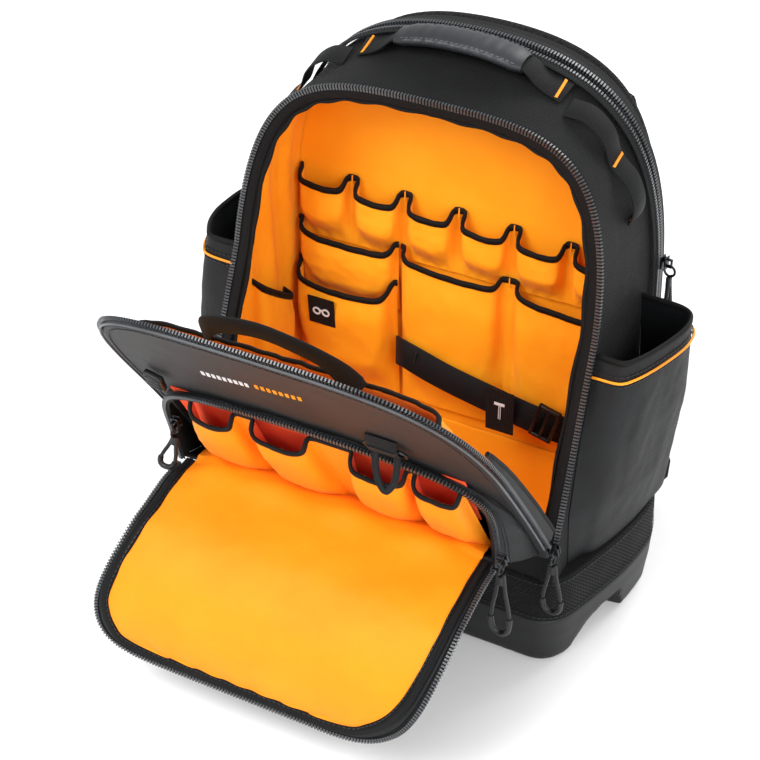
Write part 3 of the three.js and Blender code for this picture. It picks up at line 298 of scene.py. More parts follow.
def evenly(points, count, *others):
    # The line again with count points at equal distances, and the lists that go with it
    sums = pathLengths(points)
    rows = [points, *others]
    found = [[] for _ in rows]
    k = 0
    for n in range(count):
        want = sums[-1] * n / (count - 1)
        while k < len(sums) - 2 and sums[k + 1] < want:
            k += 1
        w = clamp((want - sums[k]) / max(sums[k + 1] - sums[k], 1e-9))
        for row, out in zip(rows, found):
            out.append(row[k] + (row[k + 1] - row[k]) * w)
    return found[0] if not others else found


def smoothLine(points, count):
    vectors = [Vector(p) for p in points]
    fine = [curvePoint(vectors, n / (len(vectors) * 14)) for n in range(len(vectors) * 14 + 1)]
    return evenly(fine, count)


def tangents(points):
    last = len(points) - 1
    return [(points[min(i + 1, last)] - points[max(i - 1, 0)]).normalized() for i in range(last + 1)]


def newPiece(name, points, faces, uvs, looks):
    mesh = bpy.data.meshes.new(name)
    mesh.from_pydata([p * mm for p in points], [], faces)
    if uvs:
        layer = mesh.uv_layers.new(name="cloth")
        for loop, uv in zip(layer.data, uvs):
            loop.uv = uv
    for look in looks:
        mesh.materials.append(look)
    mesh.validate()
    piece = bpy.data.objects.new(name, mesh)
    bpy.context.scene.collection.objects.link(piece)
    return piece


def pick(piece):
    bpy.ops.object.select_all(action="DESELECT")
    piece.select_set(True)
    bpy.context.view_layer.objects.active = piece


def applyModifier(piece, kind, **settings):
    modifier = piece.modifiers.new(kind, kind)
    for key, value in settings.items():
        setattr(modifier, key, value)
    pick(piece)
    bpy.ops.object.modifier_apply(modifier=modifier.name)


def shade(piece, angle=50):
    pick(piece)
    bpy.ops.object.shade_smooth_by_angle(angle=math.radians(angle))


def settle(piece, slot, *nodes):
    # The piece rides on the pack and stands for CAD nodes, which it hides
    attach(piece, "root")
    if nodes:
        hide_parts(*nodes)
    return piece


def joinPieces(pieces, name):
    bpy.ops.object.select_all(action="DESELECT")
    for piece in pieces:
        piece.select_set(True)
    bpy.context.view_layer.objects.active = pieces[0]
    bpy.ops.object.join()
    pieces[0].name = name
    return pieces[0]


def clothSheet(name, grid, looks, thickness, away=None, toward=None, closed=False, flat=None):
    # A wall of cloth from a grid of points on its outer face. away or toward is a point that settles
    # which face is the outer one, and flat gives the map's places where the grid isn't a plain one.
    cols = len(grid[0])
    points = [p for row in grid for p in row]
    spans = cols if closed else cols - 1
    quads = []
    for r in range(len(grid) - 1):
        for i in range(spans):
            a = r * cols + i
            b = r * cols + (i + 1) % cols
            quads.append((a, b, b + cols, a + cols))
    centre = Vector(away or toward)
    facing = 0.0
    for a, b, c, d in quads:
        normal = (points[c] - points[a]).cross(points[d] - points[b])
        facing += normal.dot((points[a] + points[c]) / 2 - centre)
    turned = (facing < 0) != (toward is not None)
    across = [pathLengths(row + row[:1]) for row in grid]
    middle = cols // 2
    down = list(zip(*[pathLengths([row[i] for row in grid]) for i in range(cols)]))
    uvs = []
    for r in range(len(grid) - 1):
        for i in range(spans):
            corners = [(r, i), (r, i + 1), (r + 1, i + 1), (r + 1, i)]
            for row, col in reversed(corners) if turned else corners:
                if flat:
                    uvs.append([value * mm for value in flat(row, col)])
                else:
                    uvs.append(((across[row][col] - across[row][middle]) * mm, down[row][col % cols] * mm))
    faces = [quad[::-1] for quad in quads] if turned else quads
    piece = newPiece(name, points, faces, uvs, looks)
    if thickness:
        applyModifier(piece, "SOLIDIFY", thickness=thickness * mm, offset=-1, material_offset=len(looks) - 1)
    shade(piece)
    return piece


def sweep(name, path, sides, section, look, closed=False, capped=True):
    # A section carried along a path. A section point is (along the side vector, along the normal).
    directions = tangents(path)
    points = []
    for p, t, s in zip(path, directions, sides):
        normal = t.cross(s).normalized()
        side = normal.cross(t).normalized()
        points += [p + side * a + normal * b for a, b in section]
    count = len(section)
    along = pathLengths(path)
    ring = pathLengths([Vector((a, b, 0)) for a, b in section] + [Vector((*section[0], 0))])
    faces = []
    uvs = []
    rounds = len(path) if closed else len(path) - 1
    for r in range(rounds):
        for i in range(count):
            j = (i + 1) % count
            a, b = r * count, ((r + 1) % len(path)) * count
            faces.append((a + i, a + j, b + j, b + i))
            v = (along[r], along[r + 1] if r + 1 < len(along) else along[r] + along[1])
            uvs += [(ring[i] * mm, v[0] * mm), (ring[i + 1] * mm, v[0] * mm), (ring[i + 1] * mm, v[1] * mm),
                    (ring[i] * mm, v[1] * mm)]
    if capped and not closed:
        end = (len(path) - 1) * count
        faces += [tuple(range(count))[::-1], tuple(range(end, end + count))]
        uvs += [(0, 0)] * (2 * count)
    area = sum(a[0] * b[1] - b[0] * a[1] for a, b in zip(section, section[1:] + section[:1]))
    if area > 0:
        fixed = []
        at = 0
        for face in faces:
            fixed.append(face[::-1])
            uvs[at:at + len(face)] = uvs[at:at + len(face)][::-1]
            at += len(face)
        faces = fixed
    piece = newPiece(name, points, faces, uvs, [look])
    shade(piece)
    return piece


def roundedStrip(width, thick, corner=0.45):
    # Section of a flat tape with soft edges
    w, t = width / 2, thick / 2
    c = min(corner * thick, t * 0.9)
    return [(w, -t + c), (w, t - c), (w - c, t), (0, t), (-w + c, t),
            (-w, t - c), (-w, -t + c), (-w + c, -t), (0, -t), (w - c, -t)]


def roundSection(radius, sides=10):
    return [(radius * math.cos(2 * math.pi * i / sides), radius * math.sin(2 * math.pi * i / sides))
            for i in range(sides)]


def blocks(name, places, look):
    # Many small six-sided blocks in one piece: teeth, stitches and bars. A place is its centre and
    # the half edges along its three axes, and taper narrows the far end of the first axis.
    points = []
    faces = []
    for centre, a, b, c, taper in places:
        first = len(points)
        for i in (-1, 1):
            k = taper if i > 0 else 1
            for j in (-1, 1):
                for m in (-1, 1):
                    points.append(centre + a * i + b * (j * k) + c * (m * k))
        quads = [(0, 1, 3, 2), (4, 6, 7, 5), (0, 4, 5, 1), (2, 3, 7, 6), (0, 2, 6, 4), (1, 5, 7, 3)]
        if a.cross(b).dot(c) < 0:
            quads = [quad[::-1] for quad in quads]
        faces += [tuple(first + n for n in quad) for quad in quads]
    return newPiece(name, points, faces, [], [look])


def stitchPlaces(path, sides, length=3.0, gap=1.6, wide=0.45):
    # Stitches along a line on a surface. A side vector lies in the surface, across the line.
    total = pathLengths(path)[-1]
    count = max(2, int(total / (length + gap)))
    line, across = evenly(path, count * 2 + 1, sides)
    found = []
    for n in range(0, count * 2, 2):
        run = (line[n + 1] - line[n]).normalized()
        side = across[n].normalized()
        normal = run.cross(side).normalized()
        centre = (line[n] + line[n + 1]) / 2
        found.append((centre, run * (length / 2), side * wide, normal * wide, 0.8))
    return found


def toothPlaces(path, outs, pitch, reach, high):
    # Teeth of a zip coil, each across the path and towards the open side
    total = pathLengths(path)[-1]
    line, across = evenly(path, max(3, int(total / pitch)), outs)
    runs = tangents(line)
    found = []
    for p, run, out in zip(line, runs, across):
        side = (out - run * out.dot(run)).normalized()
        normal = run.cross(side).normalized()
        found.append((p, side * reach, run * (pitch * 0.3), normal * high, 0.75))
    return found


def bartackPlaces(centre, along, normal, length=12, wide=2.2):
    # A bar of close zigzag thread
    along = along.normalized()
    normal = normal.normalized()
    side = normal.cross(along).normalized()
    count = int(length / 0.9)
    found = []
    for n in range(count):
        p = centre + along * ((n + 0.5) / count - 0.5) * length + normal * 0.35
        lean = along * (0.35 if n % 2 else -0.35)
        found.append((p, side * (wide / 2) + lean, along * 0.42, normal * 0.4, 1.0))
    return found


def stripBinding(name, path, downs, wide=6.4, thick=3.8):
    return sweep(name, path, downs, roundedStrip(wide, thick), tape)


print("makers ready")

# The body's outline from the front face (depth 0) over the rear zip (1) to the back (2)
bodySet = {"frontFaceY": -131, "kneeZ": 300, "sillZ": 129, "bottom": 95.4, "frontLean": 0.4,
           "upperLean": 0.22, "rearZipY": 83.4, "backFaceY": 129.4, "rearLean": -0.08, "dividerY": 34}
archTable = [
    {"low": 171.5, "knee": 166.5, "top": 458, "rise": 158, "crown": 104.5},
    {"low": 171, "knee": 168, "top": 480, "rise": 120, "crown": 128.4},
    {"low": 146, "knee": 152, "top": 480, "rise": 120, "crown": 126},
]
straightPart = 3 / 13
sillShare = (bodySet["sillZ"] - bodySet["bottom"]) / (bodySet["kneeZ"] - bodySet["bottom"]) * straightPart


def frontY(z):
    b = bodySet
    low = max(0, min(z, b["kneeZ"]) - b["sillZ"])
    return b["frontFaceY"] + b["frontLean"] * low + b["upperLean"] * max(0, z - b["kneeZ"])


def archPoint(arch, share):
    kneeZ = bodySet["kneeZ"]
    if share <= straightPart:
        k = share / straightPart
        return mix(arch["low"], arch["knee"], k), mix(bodySet["bottom"], kneeZ, k)
    k = (share - straightPart) / (1 - straightPart)
    a, b, c, d = (1 - k) ** 3, 3 * (1 - k) ** 2 * k, 3 * (1 - k) * k * k, k ** 3
    x = a * arch["knee"] + b * (arch["knee"] - 3) + c * arch["crown"]
    z = a * kneeZ + b * min(kneeZ + arch["rise"], arch["top"] - 1) + (c + d) * arch["top"]
    return x, z


def depthPoint(share, depth):
    b = bodySet
    low = 0 if depth < 1 else 1
    ends = []
    for level in (low, low + 1):
        x, z = archPoint(archTable[level], share)
        y = [frontY(z), b["rearZipY"] + b["rearLean"] * (z - b["bottom"]),
             b["backFaceY"] + b["rearLean"] * (z - b["bottom"])][level]
        ends.append(Vector((x, y, z)))
    return ends[0].lerp(ends[1], depth - low)


def insetPoint(share, depth, inset):
    a = depthPoint(max(0, share - 0.01), depth)
    b = depthPoint(min(1, share + 0.01), depth)
    run = Vector((b.x - a.x, 0, b.z - a.z)).normalized() if share < 1 else Vector((-1, 0, 0))
    p = depthPoint(share, depth)
    return Vector((p.x - run.z * inset, p.y, p.z + run.x * inset))


def atMove(share, move, inset):
    # A point of the body's outline that lies move millimetres behind the front face
    span = depthPoint(share, 1).y - depthPoint(share, 0).y
    return insetPoint(share, move / span, inset)


def atY(share, y, inset):
    a = depthPoint(share, 0).y
    b = depthPoint(share, 1).y
    p = insetPoint(share, (y - a) / (b - a), inset)
    return Vector((p.x, y, p.z))


fineShares = [straightPart * n / 22 for n in range(22)]
fineShares += [straightPart + (1 - straightPart) * n / 50 for n in range(51)]
upperShares = [sillShare] + [share for share in fineShares if share > sillShare + 0.004]


def wholeLoop(right):
    return right + [Vector((-p.x, p.y, p.z)) for p in reversed(right[:-1])]


def bodyHalfWidth(y, z):
    k = clamp((z - bodySet["bottom"]) / (bodySet["kneeZ"] - bodySet["bottom"]))
    front = mix(archTable[0]["low"], archTable[0]["knee"], k)
    rear = mix(archTable[1]["low"], archTable[1]["knee"], k)
    farY = bodySet["rearZipY"] + bodySet["rearLean"] * (z - bodySet["bottom"])
    return mix(front, rear, (y - frontY(z)) / (farY - frontY(z)))


bodyCentre = (0, -20, 260)


def makeBody():
    # Front flange, sides and top in one grid of cloth that starts at the edge of the mouth
    front = [(13, 0.4), (10.5, 0), (7.5, -0.3), (4.5, -0.2), (2, 0.3), (0.7, 1.2), (0, 3)]
    rows = []
    for inset, move in front:
        row = []
        for n, share in enumerate(fineShares):
            wave = 0.9 * math.sin(n * 0.9) * smooth((inset - 6) / 7)
            p = atMove(share, move, inset + wave)
            row.append(p)
        rows.append(wholeLoop(row))
    for n in range(1, 25):
        depth = mix(0.02, 0.953, n / 24)
        row = []
        for p in wholeLoop([insetPoint(share, depth, 0) for share in fineShares]):
            lift = 1.6 * ripple(p.x * 0.3, p.y, p.z * 0.5, 42, 2) + 0.7 * ripple(p.x, p.y, p.z, 17, 5)
            lift *= math.sin(math.pi * n / 24.5)
            out = Vector((p.x, 0, (p.z - 250) * 1.1)).normalized()
            row.append(p + out * lift)
        rows.append(row)
    shell = clothSheet("bodyShell", rows, [canvas], 2.3, away=bodyCentre)
    half = archTable[0]["low"] - 9
    sill = []
    for n in range(6):
        z = mix(96, bodySet["sillZ"], n / 5)
        sill.append([Vector((mix(-half, half, k / 60), frontY(z) + 0.8 + 0.5 * ripple(k, z, 0, 9, 1), z))
                     for k in range(61)])
    front = clothSheet("bodySill", sill, [canvas], 1.6, away=(0, 0, 110))
    shell = joinPieces([shell, front], "bodyShell")
    settle(shell, "black_canvas", "main_shell")
    edge = [atMove(share, 0.6, 13.2 + 0.9 * math.sin(n * 0.9)) for n, share in enumerate(upperShares)]
    edge = wholeLoop(edge)
    inward = [Vector((-p.x, 0, 300 - p.z)).normalized() for p in edge]
    settle(sweep("mouthBinding", edge, inward, roundedStrip(3.4, 2.6), tape), "black_webbing")
    rows = []
    for n in range(13):
        row = []
        for p in wholeLoop([insetPoint(share, mix(0.957, 1.7, n / 12), 0) for share in fineShares]):
            lift = (1.1 * ripple(p.x * 0.3, p.y, p.z * 0.5, 30, 8)) * math.sin(math.pi * n / 12)
            row.append(p + Vector((p.x, 0, (p.z - 250) * 1.1)).normalized() * lift)
        rows.append(row)
    settle(clothSheet("rearShell", rows, [canvas], 2.3, away=(0, 90, 260)), "black_canvas", "rear_shell")


makeBody()
print("body made")


def makeLining():
    # The loose orange cloth behind the flange: it hangs in soft folds and turns in at the divider.
    steps = [(13.6, 3.2), (9, 5), (5.4, 7.4), (4.4, 11)]
    rows = [wholeLoop([atMove(share, move, inset) for share in fineShares]) for inset, move in steps]
    for n in range(1, 27):
        k = n / 26
        row = []
        for share in fineShares:
            start = atMove(share, 11, 4.4).y
            row.append(atY(share, mix(start, bodySet["dividerY"] - 0.6, k), 5.1))
        row = wholeLoop(row)
        for i, p in enumerate(row):
            inward = Vector((-p.x, 0, (250 - p.z) * 1.1)).normalized()
            fold = 3.4 * ripple(p.x * 0.2, p.y * 1.3, p.z * 0.35, 24, 3) + 1.6 * ripple(p.x, p.y, p.z, 13, 6)
            left = smooth((-p.x - 120) / 30) * smooth((p.z - 190) / 60)
            fold += left * 4.0 * math.sin(p.y * 0.16 + p.z * 0.02)
            row[i] = p + inward * max(0, fold + 1.8) * math.sin(math.pi * clamp(k * 1.04)) ** 0.6
        rows.append(row)
    settle(clothSheet("mainLining", rows, [lining], 1.2, toward=bodyCentre), "orange_lining", "lining")
    # Divider, with shallow pillows between the seams
    outline = wholeLoop([atY(share, bodySet["dividerY"], 4) for share in fineShares])
    centre = Vector((0, bodySet["dividerY"], 250))
    rows = []
    for n in range(31):
        k = max(1 - n / 30, 0.004)
        row = []
        for p in outline:
            q = centre.lerp(p, k)
            q.y += 0.7 + 0.9 * ripple(q.x, 0, q.z, 34, 4) * smooth((1 - k) * 8)
            row.append(q)
        rows.append(row)
    flat = lambda r, c: (rows[r][c % len(outline)].x, rows[r][c % len(outline)].z)
    wall = clothSheet("dividerLining", rows, [lining], 5.0, toward=(0, -400, 250), flat=flat, closed=True)
    settle(wall, "orange_lining", "back_wall")


def roundPlan(half, nearY, farY, radius, z, steps=10):
    row = []
    corners = [(half - radius, nearY + radius, -90, radius), (half - 6, farY - 6, 0, 6),
               (-half + 6, farY - 6, 90, 6), (-half + radius, nearY + radius, 180, radius)]
    for cx, cy, turn, r in corners:
        for k in range(steps + 1):
            a = math.radians(turn + 90 * k / steps)
            row.append(Vector((cx + r * math.cos(a), cy + r * math.sin(a), z)))
    return evenly(row + row[:1], 161)[:-1]


def makeTub():
    # The lower end of the compartment: cloth walls and a padded floor
    rows = []
    for half, near, far, z in ((166.6, -127, 33.6, 96.2), (163.4, -125, 32, 95.6), (162.4, -124.4, 31.4, 92),
                               (162, -124, 31.2, 80), (161.6, -123.6, 31, 60), (161.2, -123.2, 30.8, 42),
                               (160, -122, 30, 30), (156, -118, 30, 22), (152, -114, 28, 18.4),
                               (146, -108, 24, 17.4)):
        plan = roundPlan(half, near, far, 25, z)
        rows.append([p + Vector((0, 0, 0.5 * ripple(p.x, p.y, z, 26, 9))) for p in plan])
    centre = Vector((0, -42, 17.2))
    edge = rows[-1]
    for n in range(1, 15):
        k = max(1 - n / 14, 0.01)
        row = [centre.lerp(p, k) + Vector((0, 0, 0.8 * ripple(p.x * k, p.y * k, 0, 30, 3))) for p in edge]
        rows.append(row)
    flat = lambda r, c: (rows[r][c % 160].x + rows[r][c % 160].z, rows[r][c % 160].y)
    tub = clothSheet("floorTub", rows, [lining], 1.4, toward=(0, -40, 90), closed=True, flat=flat)
    settle(tub, "orange_lining", "floor_tub")


makeLining()
makeTub()
print("lining made")

# Moulded base with a relief between its feet on each side, and the woven band above it
baseSet = {"frontY": -134, "rearY": 127, "frontHalf": 150, "sideHalf": 207}


def basePlan(inset):
    b = baseSet
    side = b["sideHalf"]

    def bezier(points, steps):
        found = []
        for n in range(steps):
            row = [Vector(p) for p in points]
            while len(row) > 1:
                row = [p.lerp(q, n / steps) for p, q in zip(row, row[1:])]
            found.append(row[0])
        return found

    line = bezier([(0, b["frontY"]), (b["frontHalf"], b["frontY"])], 30)
    line += bezier([(b["frontHalf"], b["frontY"]), (176, b["frontY"]), (184, -106)], 14)
    line += bezier([(184, -106), (196, -66), (side, -30), (side, 12)], 30)
    line += bezier([(side, 12), (205, 36), (184, 76), (158, 112)], 24)
    line += bezier([(158, 112), (149, 124.5), (130, b["rearY"])], 10)
    line += bezier([(130, b["rearY"]), (0, b["rearY"])], 24)
    line.append(Vector((0, b["rearY"])))
    loop = line + [Vector((-p.x, p.y)) for p in reversed(line[1:-1])]
    found = []
    for i, p in enumerate(loop):
        run = (loop[(i + 1) % len(loop)] - loop[i - 1]).normalized()
        found.append(Vector((p.x - run.y * inset, p.y + run.x * inset)))
    return found


def reliefTop(y):
    table = [(-109, -3), (-84, 24), (-64, 31), (-42, 31), (-27, -3)]
    for (a, low), (b, high) in zip(table, table[1:]):
        if a <= y <= b:
            return mix(low, high, (y - a) / (b - a))
    return -30


def makeBase():
    rows = []
    profile = [(0, 60), (0, 30), (0, 12), (0, 8), (0.8, 6.2), (2.5, 4.8), (5, 3.8), (8, 3.4), (12, 3),
               (16, 2.6), (20, 2.2), (24, 1.7), (28, 1.2), (31, 0.9), (35, 0.7), (40, 0.5), (44, 0.2),
               (47, 0), (49, 0.1), (50, 0.9), (50, 3.6), (48, 4.6)]
    for z, inset in profile:
        row = []
        for p in basePlan(inset):
            q = Vector((p.x, p.y, z))
            sunk = smooth((reliefTop(p.y) - z) / 7)
            if abs(p.x) > 170 and sunk > 0:
                q.x = math.copysign(mix(abs(p.x), 170, sunk), p.x)
            row.append(q)
        rows.append(row)
    tray = clothSheet("footTray", rows, [baseRubber], 0, away=(0, 0, 30), closed=True)
    settle(tray, "moulded_base", "base_tray")
    rows = []
    for z, inset in ((50.5, 0.8), (51.5, 0.2), (56, 0.3), (62, 0.5), (70, 0.9), (78, 1.3), (86, 1.9),
                     (92, 2.3), (94.4, 2.9), (95.2, 4.2), (95.2, 9), (95, 20)):
        row = []
        for p in basePlan(inset):
            puff = 0.9 * ripple(p.x, p.y, z, 22, 7) * smooth((z - 52) / 8) * smooth((95 - z) / 6)
            out = Vector((p.x, p.y + 10)).normalized() * puff
            row.append(Vector((p.x + out.x, p.y + out.y, z)))
        rows.append(row)
    band = clothSheet("wovenBand", rows, [ballistic], 1.8, away=(0, 0, 70), closed=True)
    settle(band, "coarse_canvas", "base_band")
    seams = []
    for z, inset in ((54.5, 0.1), (91, 1.9)):
        line = [Vector((p.x, p.y, z)) for p in basePlan(inset - 0.25)]
        line.append(line[0])
        seams += stitchPlaces(line, [Vector((0, 0, 1))] * len(line), 3.4, 1.6, 0.4)
    settle(blocks("bandStitches", seams, threadBlack), "black_webbing")


makeBase()
print("base made")

# Side pockets: the arc of each height goes from the body's side round its outer corner and back
pocketSet = {"wall": 2, "bodyGap": 0.8, "pipingDrop": 17}
pocketTable = [
    {"z": 96, "frontY": -101, "cornerX": 184, "cornerY": -84, "outerX": 203,
     "outerY": 8, "rearX": 203, "rearY": 46, "endY": 60},
    {"z": 148, "frontY": -104, "cornerX": 190, "cornerY": -88, "outerX": 211,
     "outerY": 10, "rearX": 209, "rearY": 42, "endY": 54},
    {"z": 210, "frontY": -89, "cornerX": 195, "cornerY": -79, "outerX": 218,
     "outerY": 12, "rearX": 215, "rearY": 38, "endY": 48},
    {"z": 262, "frontY": -71, "cornerX": 197, "cornerY": -67, "outerX": 220,
     "outerY": 14, "rearX": 215, "rearY": 36, "endY": 42},
    {"z": 287, "frontY": -61, "cornerX": 198, "cornerY": -60, "outerX": 219,
     "outerY": 16, "rearX": 212, "rearY": 34, "endY": 40},
]
leftPocketTable = [
    pocketTable[0],
    {"z": 148, "frontY": -97, "cornerX": 204, "cornerY": -82, "outerX": 214,
     "outerY": 8, "rearX": 210, "rearY": 42, "endY": 54},
    {"z": 210, "frontY": -80, "cornerX": 213, "cornerY": -66, "outerX": 221,
     "outerY": 8, "rearX": 216, "rearY": 42, "endY": 53},
    {"z": 262, "frontY": -60, "cornerX": 214, "cornerY": -53, "outerX": 224,
     "outerY": 6, "rearX": 217, "rearY": 42, "endY": 52},
    {"z": 287, "frontY": -50, "cornerX": 213, "cornerY": -47, "outerX": 225,
     "outerY": 4, "rearX": 217, "rearY": 42, "endY": 50},
]


def pocketRow(table, z):
    n = 0
    while n < len(table) - 2 and table[n + 1]["z"] < z:
        n += 1
    k = (z - table[n]["z"]) / (table[n + 1]["z"] - table[n]["z"])
    return {key: mix(table[n][key], table[n + 1][key], k) for key in table[n]}


def pocketArc(row, inset, count=64):
    gap = pocketSet["bodyGap"]
    start = (bodyHalfWidth(row["frontY"], row["z"]) + gap, row["frontY"])
    end = (bodyHalfWidth(row["endY"], row["z"]) + gap, row["endY"])
    control = [start, (row["cornerX"] - 6, row["cornerY"] - 1.5), (row["cornerX"] + 1, row["cornerY"] + 7),
               ((row["cornerX"] + row["outerX"]) / 2 + 3, (row["cornerY"] + row["outerY"]) / 2),
               (row["outerX"], row["outerY"]), (row["rearX"], row["rearY"]), end]
    line = smoothLine([(x, y, row["z"]) for x, y in control], count)
    found = []
    for p, run in zip(line, tangents(line)):
        found.append(Vector((p.x - run.y * inset, p.y + run.x * inset, p.z)))
    return found


def makeSidePocket(name, table, side):
    turn = lambda p: Vector((p.x * side, p.y, p.z))
    rows = []
    for n in range(30):
        z = mix(96, 287, n / 29)
        arc = pocketArc(pocketRow(table, z), 0)
        runs = tangents(arc)
        row = []
        for i, (p, run) in enumerate(zip(arc, runs)):
            k = i / (len(arc) - 1)
            hold = math.sin(math.pi * k) ** 0.5 * smooth(n / 5)
            gather = 1.5 * math.sin(k * 26 + side) * smooth(1 - n / 9) * 0.6
            broad = 2.6 * ripple(k * 150, 0, z * 0.42, 30, 2 + side)
            fine = 1.0 * ripple(k * 200, 0, z * 0.9, 14, side)
            fold = (broad + fine - 0.4) * smooth((287 - z) / 30) + gather
            row.append(Vector((p.x + run.y * fold * hold, p.y - run.x * fold * hold, p.z)))
        rows.append(row)
    rows = [[turn(p) for p in row] for row in rows]
    skin = clothSheet("skin", rows, [coated], pocketSet["wall"], away=(side * 100, 0, 190))
    low = [turn(p) for p in pocketArc(pocketTable[0], 0.6)]
    floor = [[p + Vector((0, 0, 1.4)) for p in low],
             [Vector((side * (bodyHalfWidth(p.y, 96) + 0.8), p.y, p.z + 1.4)) for p in low]]
    bottom = clothSheet("bottom", floor, [coated], 1, away=(side * 190, 0, 50))
    pocket = joinPieces([skin, bottom], f"sidePocket_{name}")
    settle(pocket, "smooth_black_cloth", f"side_pocket_{name}")
    rim = [p + Vector((0, 0, -1.6)) for p in rows[-1]]
    inward = [Vector((0, 0, -1))] * len(rim)
    rim = [p - Vector((side, 0, 0)) * 0.9 for p in rim]
    settle(stripBinding(f"sidePocketBinding_{name}", rim, inward, 6.5, 3.6), "black_webbing")
    # The bright piping is sewn on a little below the rim, and a seam runs on each side of it.
    z = table[4]["z"] - pocketSet["pipingDrop"]
    line = [turn(p) for p in pocketArc(pocketRow(table, z), -1.6)]
    upright = [Vector((0, 0, 1))] * len(line)
    piping = sweep(f"sidePocketPiping_{name}", line, upright, roundSection(1.15), pipingOrange)
    settle(piping, "reflective_orange", f"side_pocket_piping_{name}")
    seams = []
    for drop in (-4, 4.5):
        line = [turn(p) for p in pocketArc(pocketRow(table, z + drop), -0.6)]
        seams += stitchPlaces(line, [Vector((0, 0, 1))] * len(line))
    settle(blocks(f"sidePocketStitches_{name}", seams, threadBlack), "black_webbing")


makeSidePocket("right", pocketTable, 1)
makeSidePocket("left", leftPocketTable, -1)
print("side pockets made")

# Door: leaning forward from the sill, places on it are (x, v up its length, out from its inner face)
doorSet = {"tilt": 0.563, "bend": 0.000334, "pad": 6, "seam": 0.4}


def doorPlace(x, v, out):
    d = doorSet
    a = d["tilt"] + d["bend"] * v
    y = bodySet["frontFaceY"] - d["seam"] - (math.cos(d["tilt"]) - math.cos(a)) / d["bend"]
    z = bodySet["sillZ"] + (math.sin(a) - math.sin(d["tilt"])) / d["bend"]
    return Vector((x, y - math.cos(a) * out, z - math.sin(a) * out))


def doorOut(v):
    a = doorSet["tilt"] + doorSet["bend"] * v
    return Vector((0, -math.cos(a), -math.sin(a)))


def doorHalf(inset, lowV):
    found = []
    for n, share in enumerate(upperShares):
        p = insetPoint(share, 0, inset)
        found.append((max(0.0, p.x), max(lowV, p.z - bodySet["sillZ"]) if n else lowV))
    return found


def doorFlat(inset, lowV=1.5):
    right = doorHalf(inset, lowV)
    return right + [(-x, v) for x, v in reversed(right[:-1])]


def doorSheet(name, rims, look, thickness, toward, bulge, sink):
    # rims are (inset, out, lowest v) from the edge inwards, and the last one is filled towards its middle
    places = [[(x, v, out) for x, v in doorFlat(inset, low)] for inset, out, low in rims]
    last = places[-1]
    for n in range(1, 27):
        k = max(1 - n / 26, 0.004)
        row = []
        for x, v, out in last:
            qx, qv = x * k, mix(150, v, k)
            soft = bulge * smooth((1 - k) * 5) * (1 + 0.6 * ripple(qx, qv, 0, 60, sink))
            soft += sink * ripple(qx, qv, 3, 28, 5) * smooth((1 - k) * 8)
            row.append((qx, qv, out + soft))
        places.append(row)
    grid = [[doorPlace(*p) for p in row] for row in places]
    flat = lambda r, c: (places[r][c % len(last)][0], places[r][c % len(last)][1])
    return clothSheet(name, grid, [look], thickness, away=toward, flat=flat, closed=True)


def makeDoor():
    pad = doorSet["pad"]
    behind = doorPlace(0, 150, -300)
    rims = [(7, 0.2, 3), (4.6, 0.4, 0.8), (3.4, 1.6, 0.5), (3.2, 3, 0.4), (3.8, 4.6, 0.6), (5, 5.6, 1.2),
            (7, 6, 2.4), (9, 5.5, 4), (11, 5.7, 6)]
    panel = doorSheet("doorPanel", rims, coated, 0, behind, 0.7, 0.5)
    settle(panel, "smooth_black_cloth", "door_panel")
    front = doorPlace(0, 150, 300)
    rims = [(9.5, -0.3, 10), (10, -1.2, 11), (12, -1.7, 13), (16, -1.9, 17)]
    inside = doorSheet("doorLining", rims, lining, 1.0, front, -1.0, 0.8)
    settle(inside, "orange_lining", "door_lining")
    # Seam along the door's edge, and the light piping beside its zip
    line = [doorPlace(x, v, pad - 0.1) for x, v in doorFlat(9, 12)]
    sides = [Vector((-p.x, 0, -1)).normalized() for p in line]
    settle(blocks("doorStitches", stitchPlaces(line, sides), threadBlack), "black_webbing")
    line = [doorPlace(x, v, pad - 0.9) for x, v in doorFlat(1.6, 26)]
    piping = sweep("doorPiping", line, [doorOut(100)] * len(line), roundSection(1.1, 8), pipingGrey)
    settle(piping, "black_webbing")


def doorFace(x, v):
    # The door's outer cloth at (x, v), with the same soft waves
    soft = 0.7 * (1 + 0.6 * ripple(x, v, 0, 60, 0.5)) + 0.5 * ripple(x, v, 3, 28, 5)
    return doorPlace(x, v, 5.8 + soft)


# Slanted bars on the door in two colours: first and last place as (x, v), how many, and the material
barRows = [((-68, 244), (-26, 252), 9, labelWhite), ((-16, 256), (22, 260), 8, pipingOrange)]
barSize = {"half": 5.0, "slant": 2.4, "wide": 1.5, "thick": 0.3}


def makeBars():
    for number, (start, end, count, look) in enumerate(barRows):
        found = []
        for n in range(count):
            x, v = mix(start[0], end[0], n / (count - 1)), mix(start[1], end[1], n / (count - 1))
            low = doorFace(x - barSize["slant"] / 2, v - barSize["half"])
            high = doorFace(x + barSize["slant"] / 2, v + barSize["half"])
            across = Vector((barSize["wide"], 0, 0))
            found.append(((low + high) / 2, (high - low) / 2, across, doorOut(v) * barSize["thick"], 1))
        settle(blocks(f"doorBars_{number}", found, look), "smooth_black_cloth")


makeDoor()
makeBars()
print("door made")


# Zips: a tape, a core and teeth that stand towards the open side. Real teeth are about 1.3 mm apart,
# and these are drawn coarser so that they show.
zipSet = {"toothPitch": 2.8, "core": 0.55, "stand": 0.82}


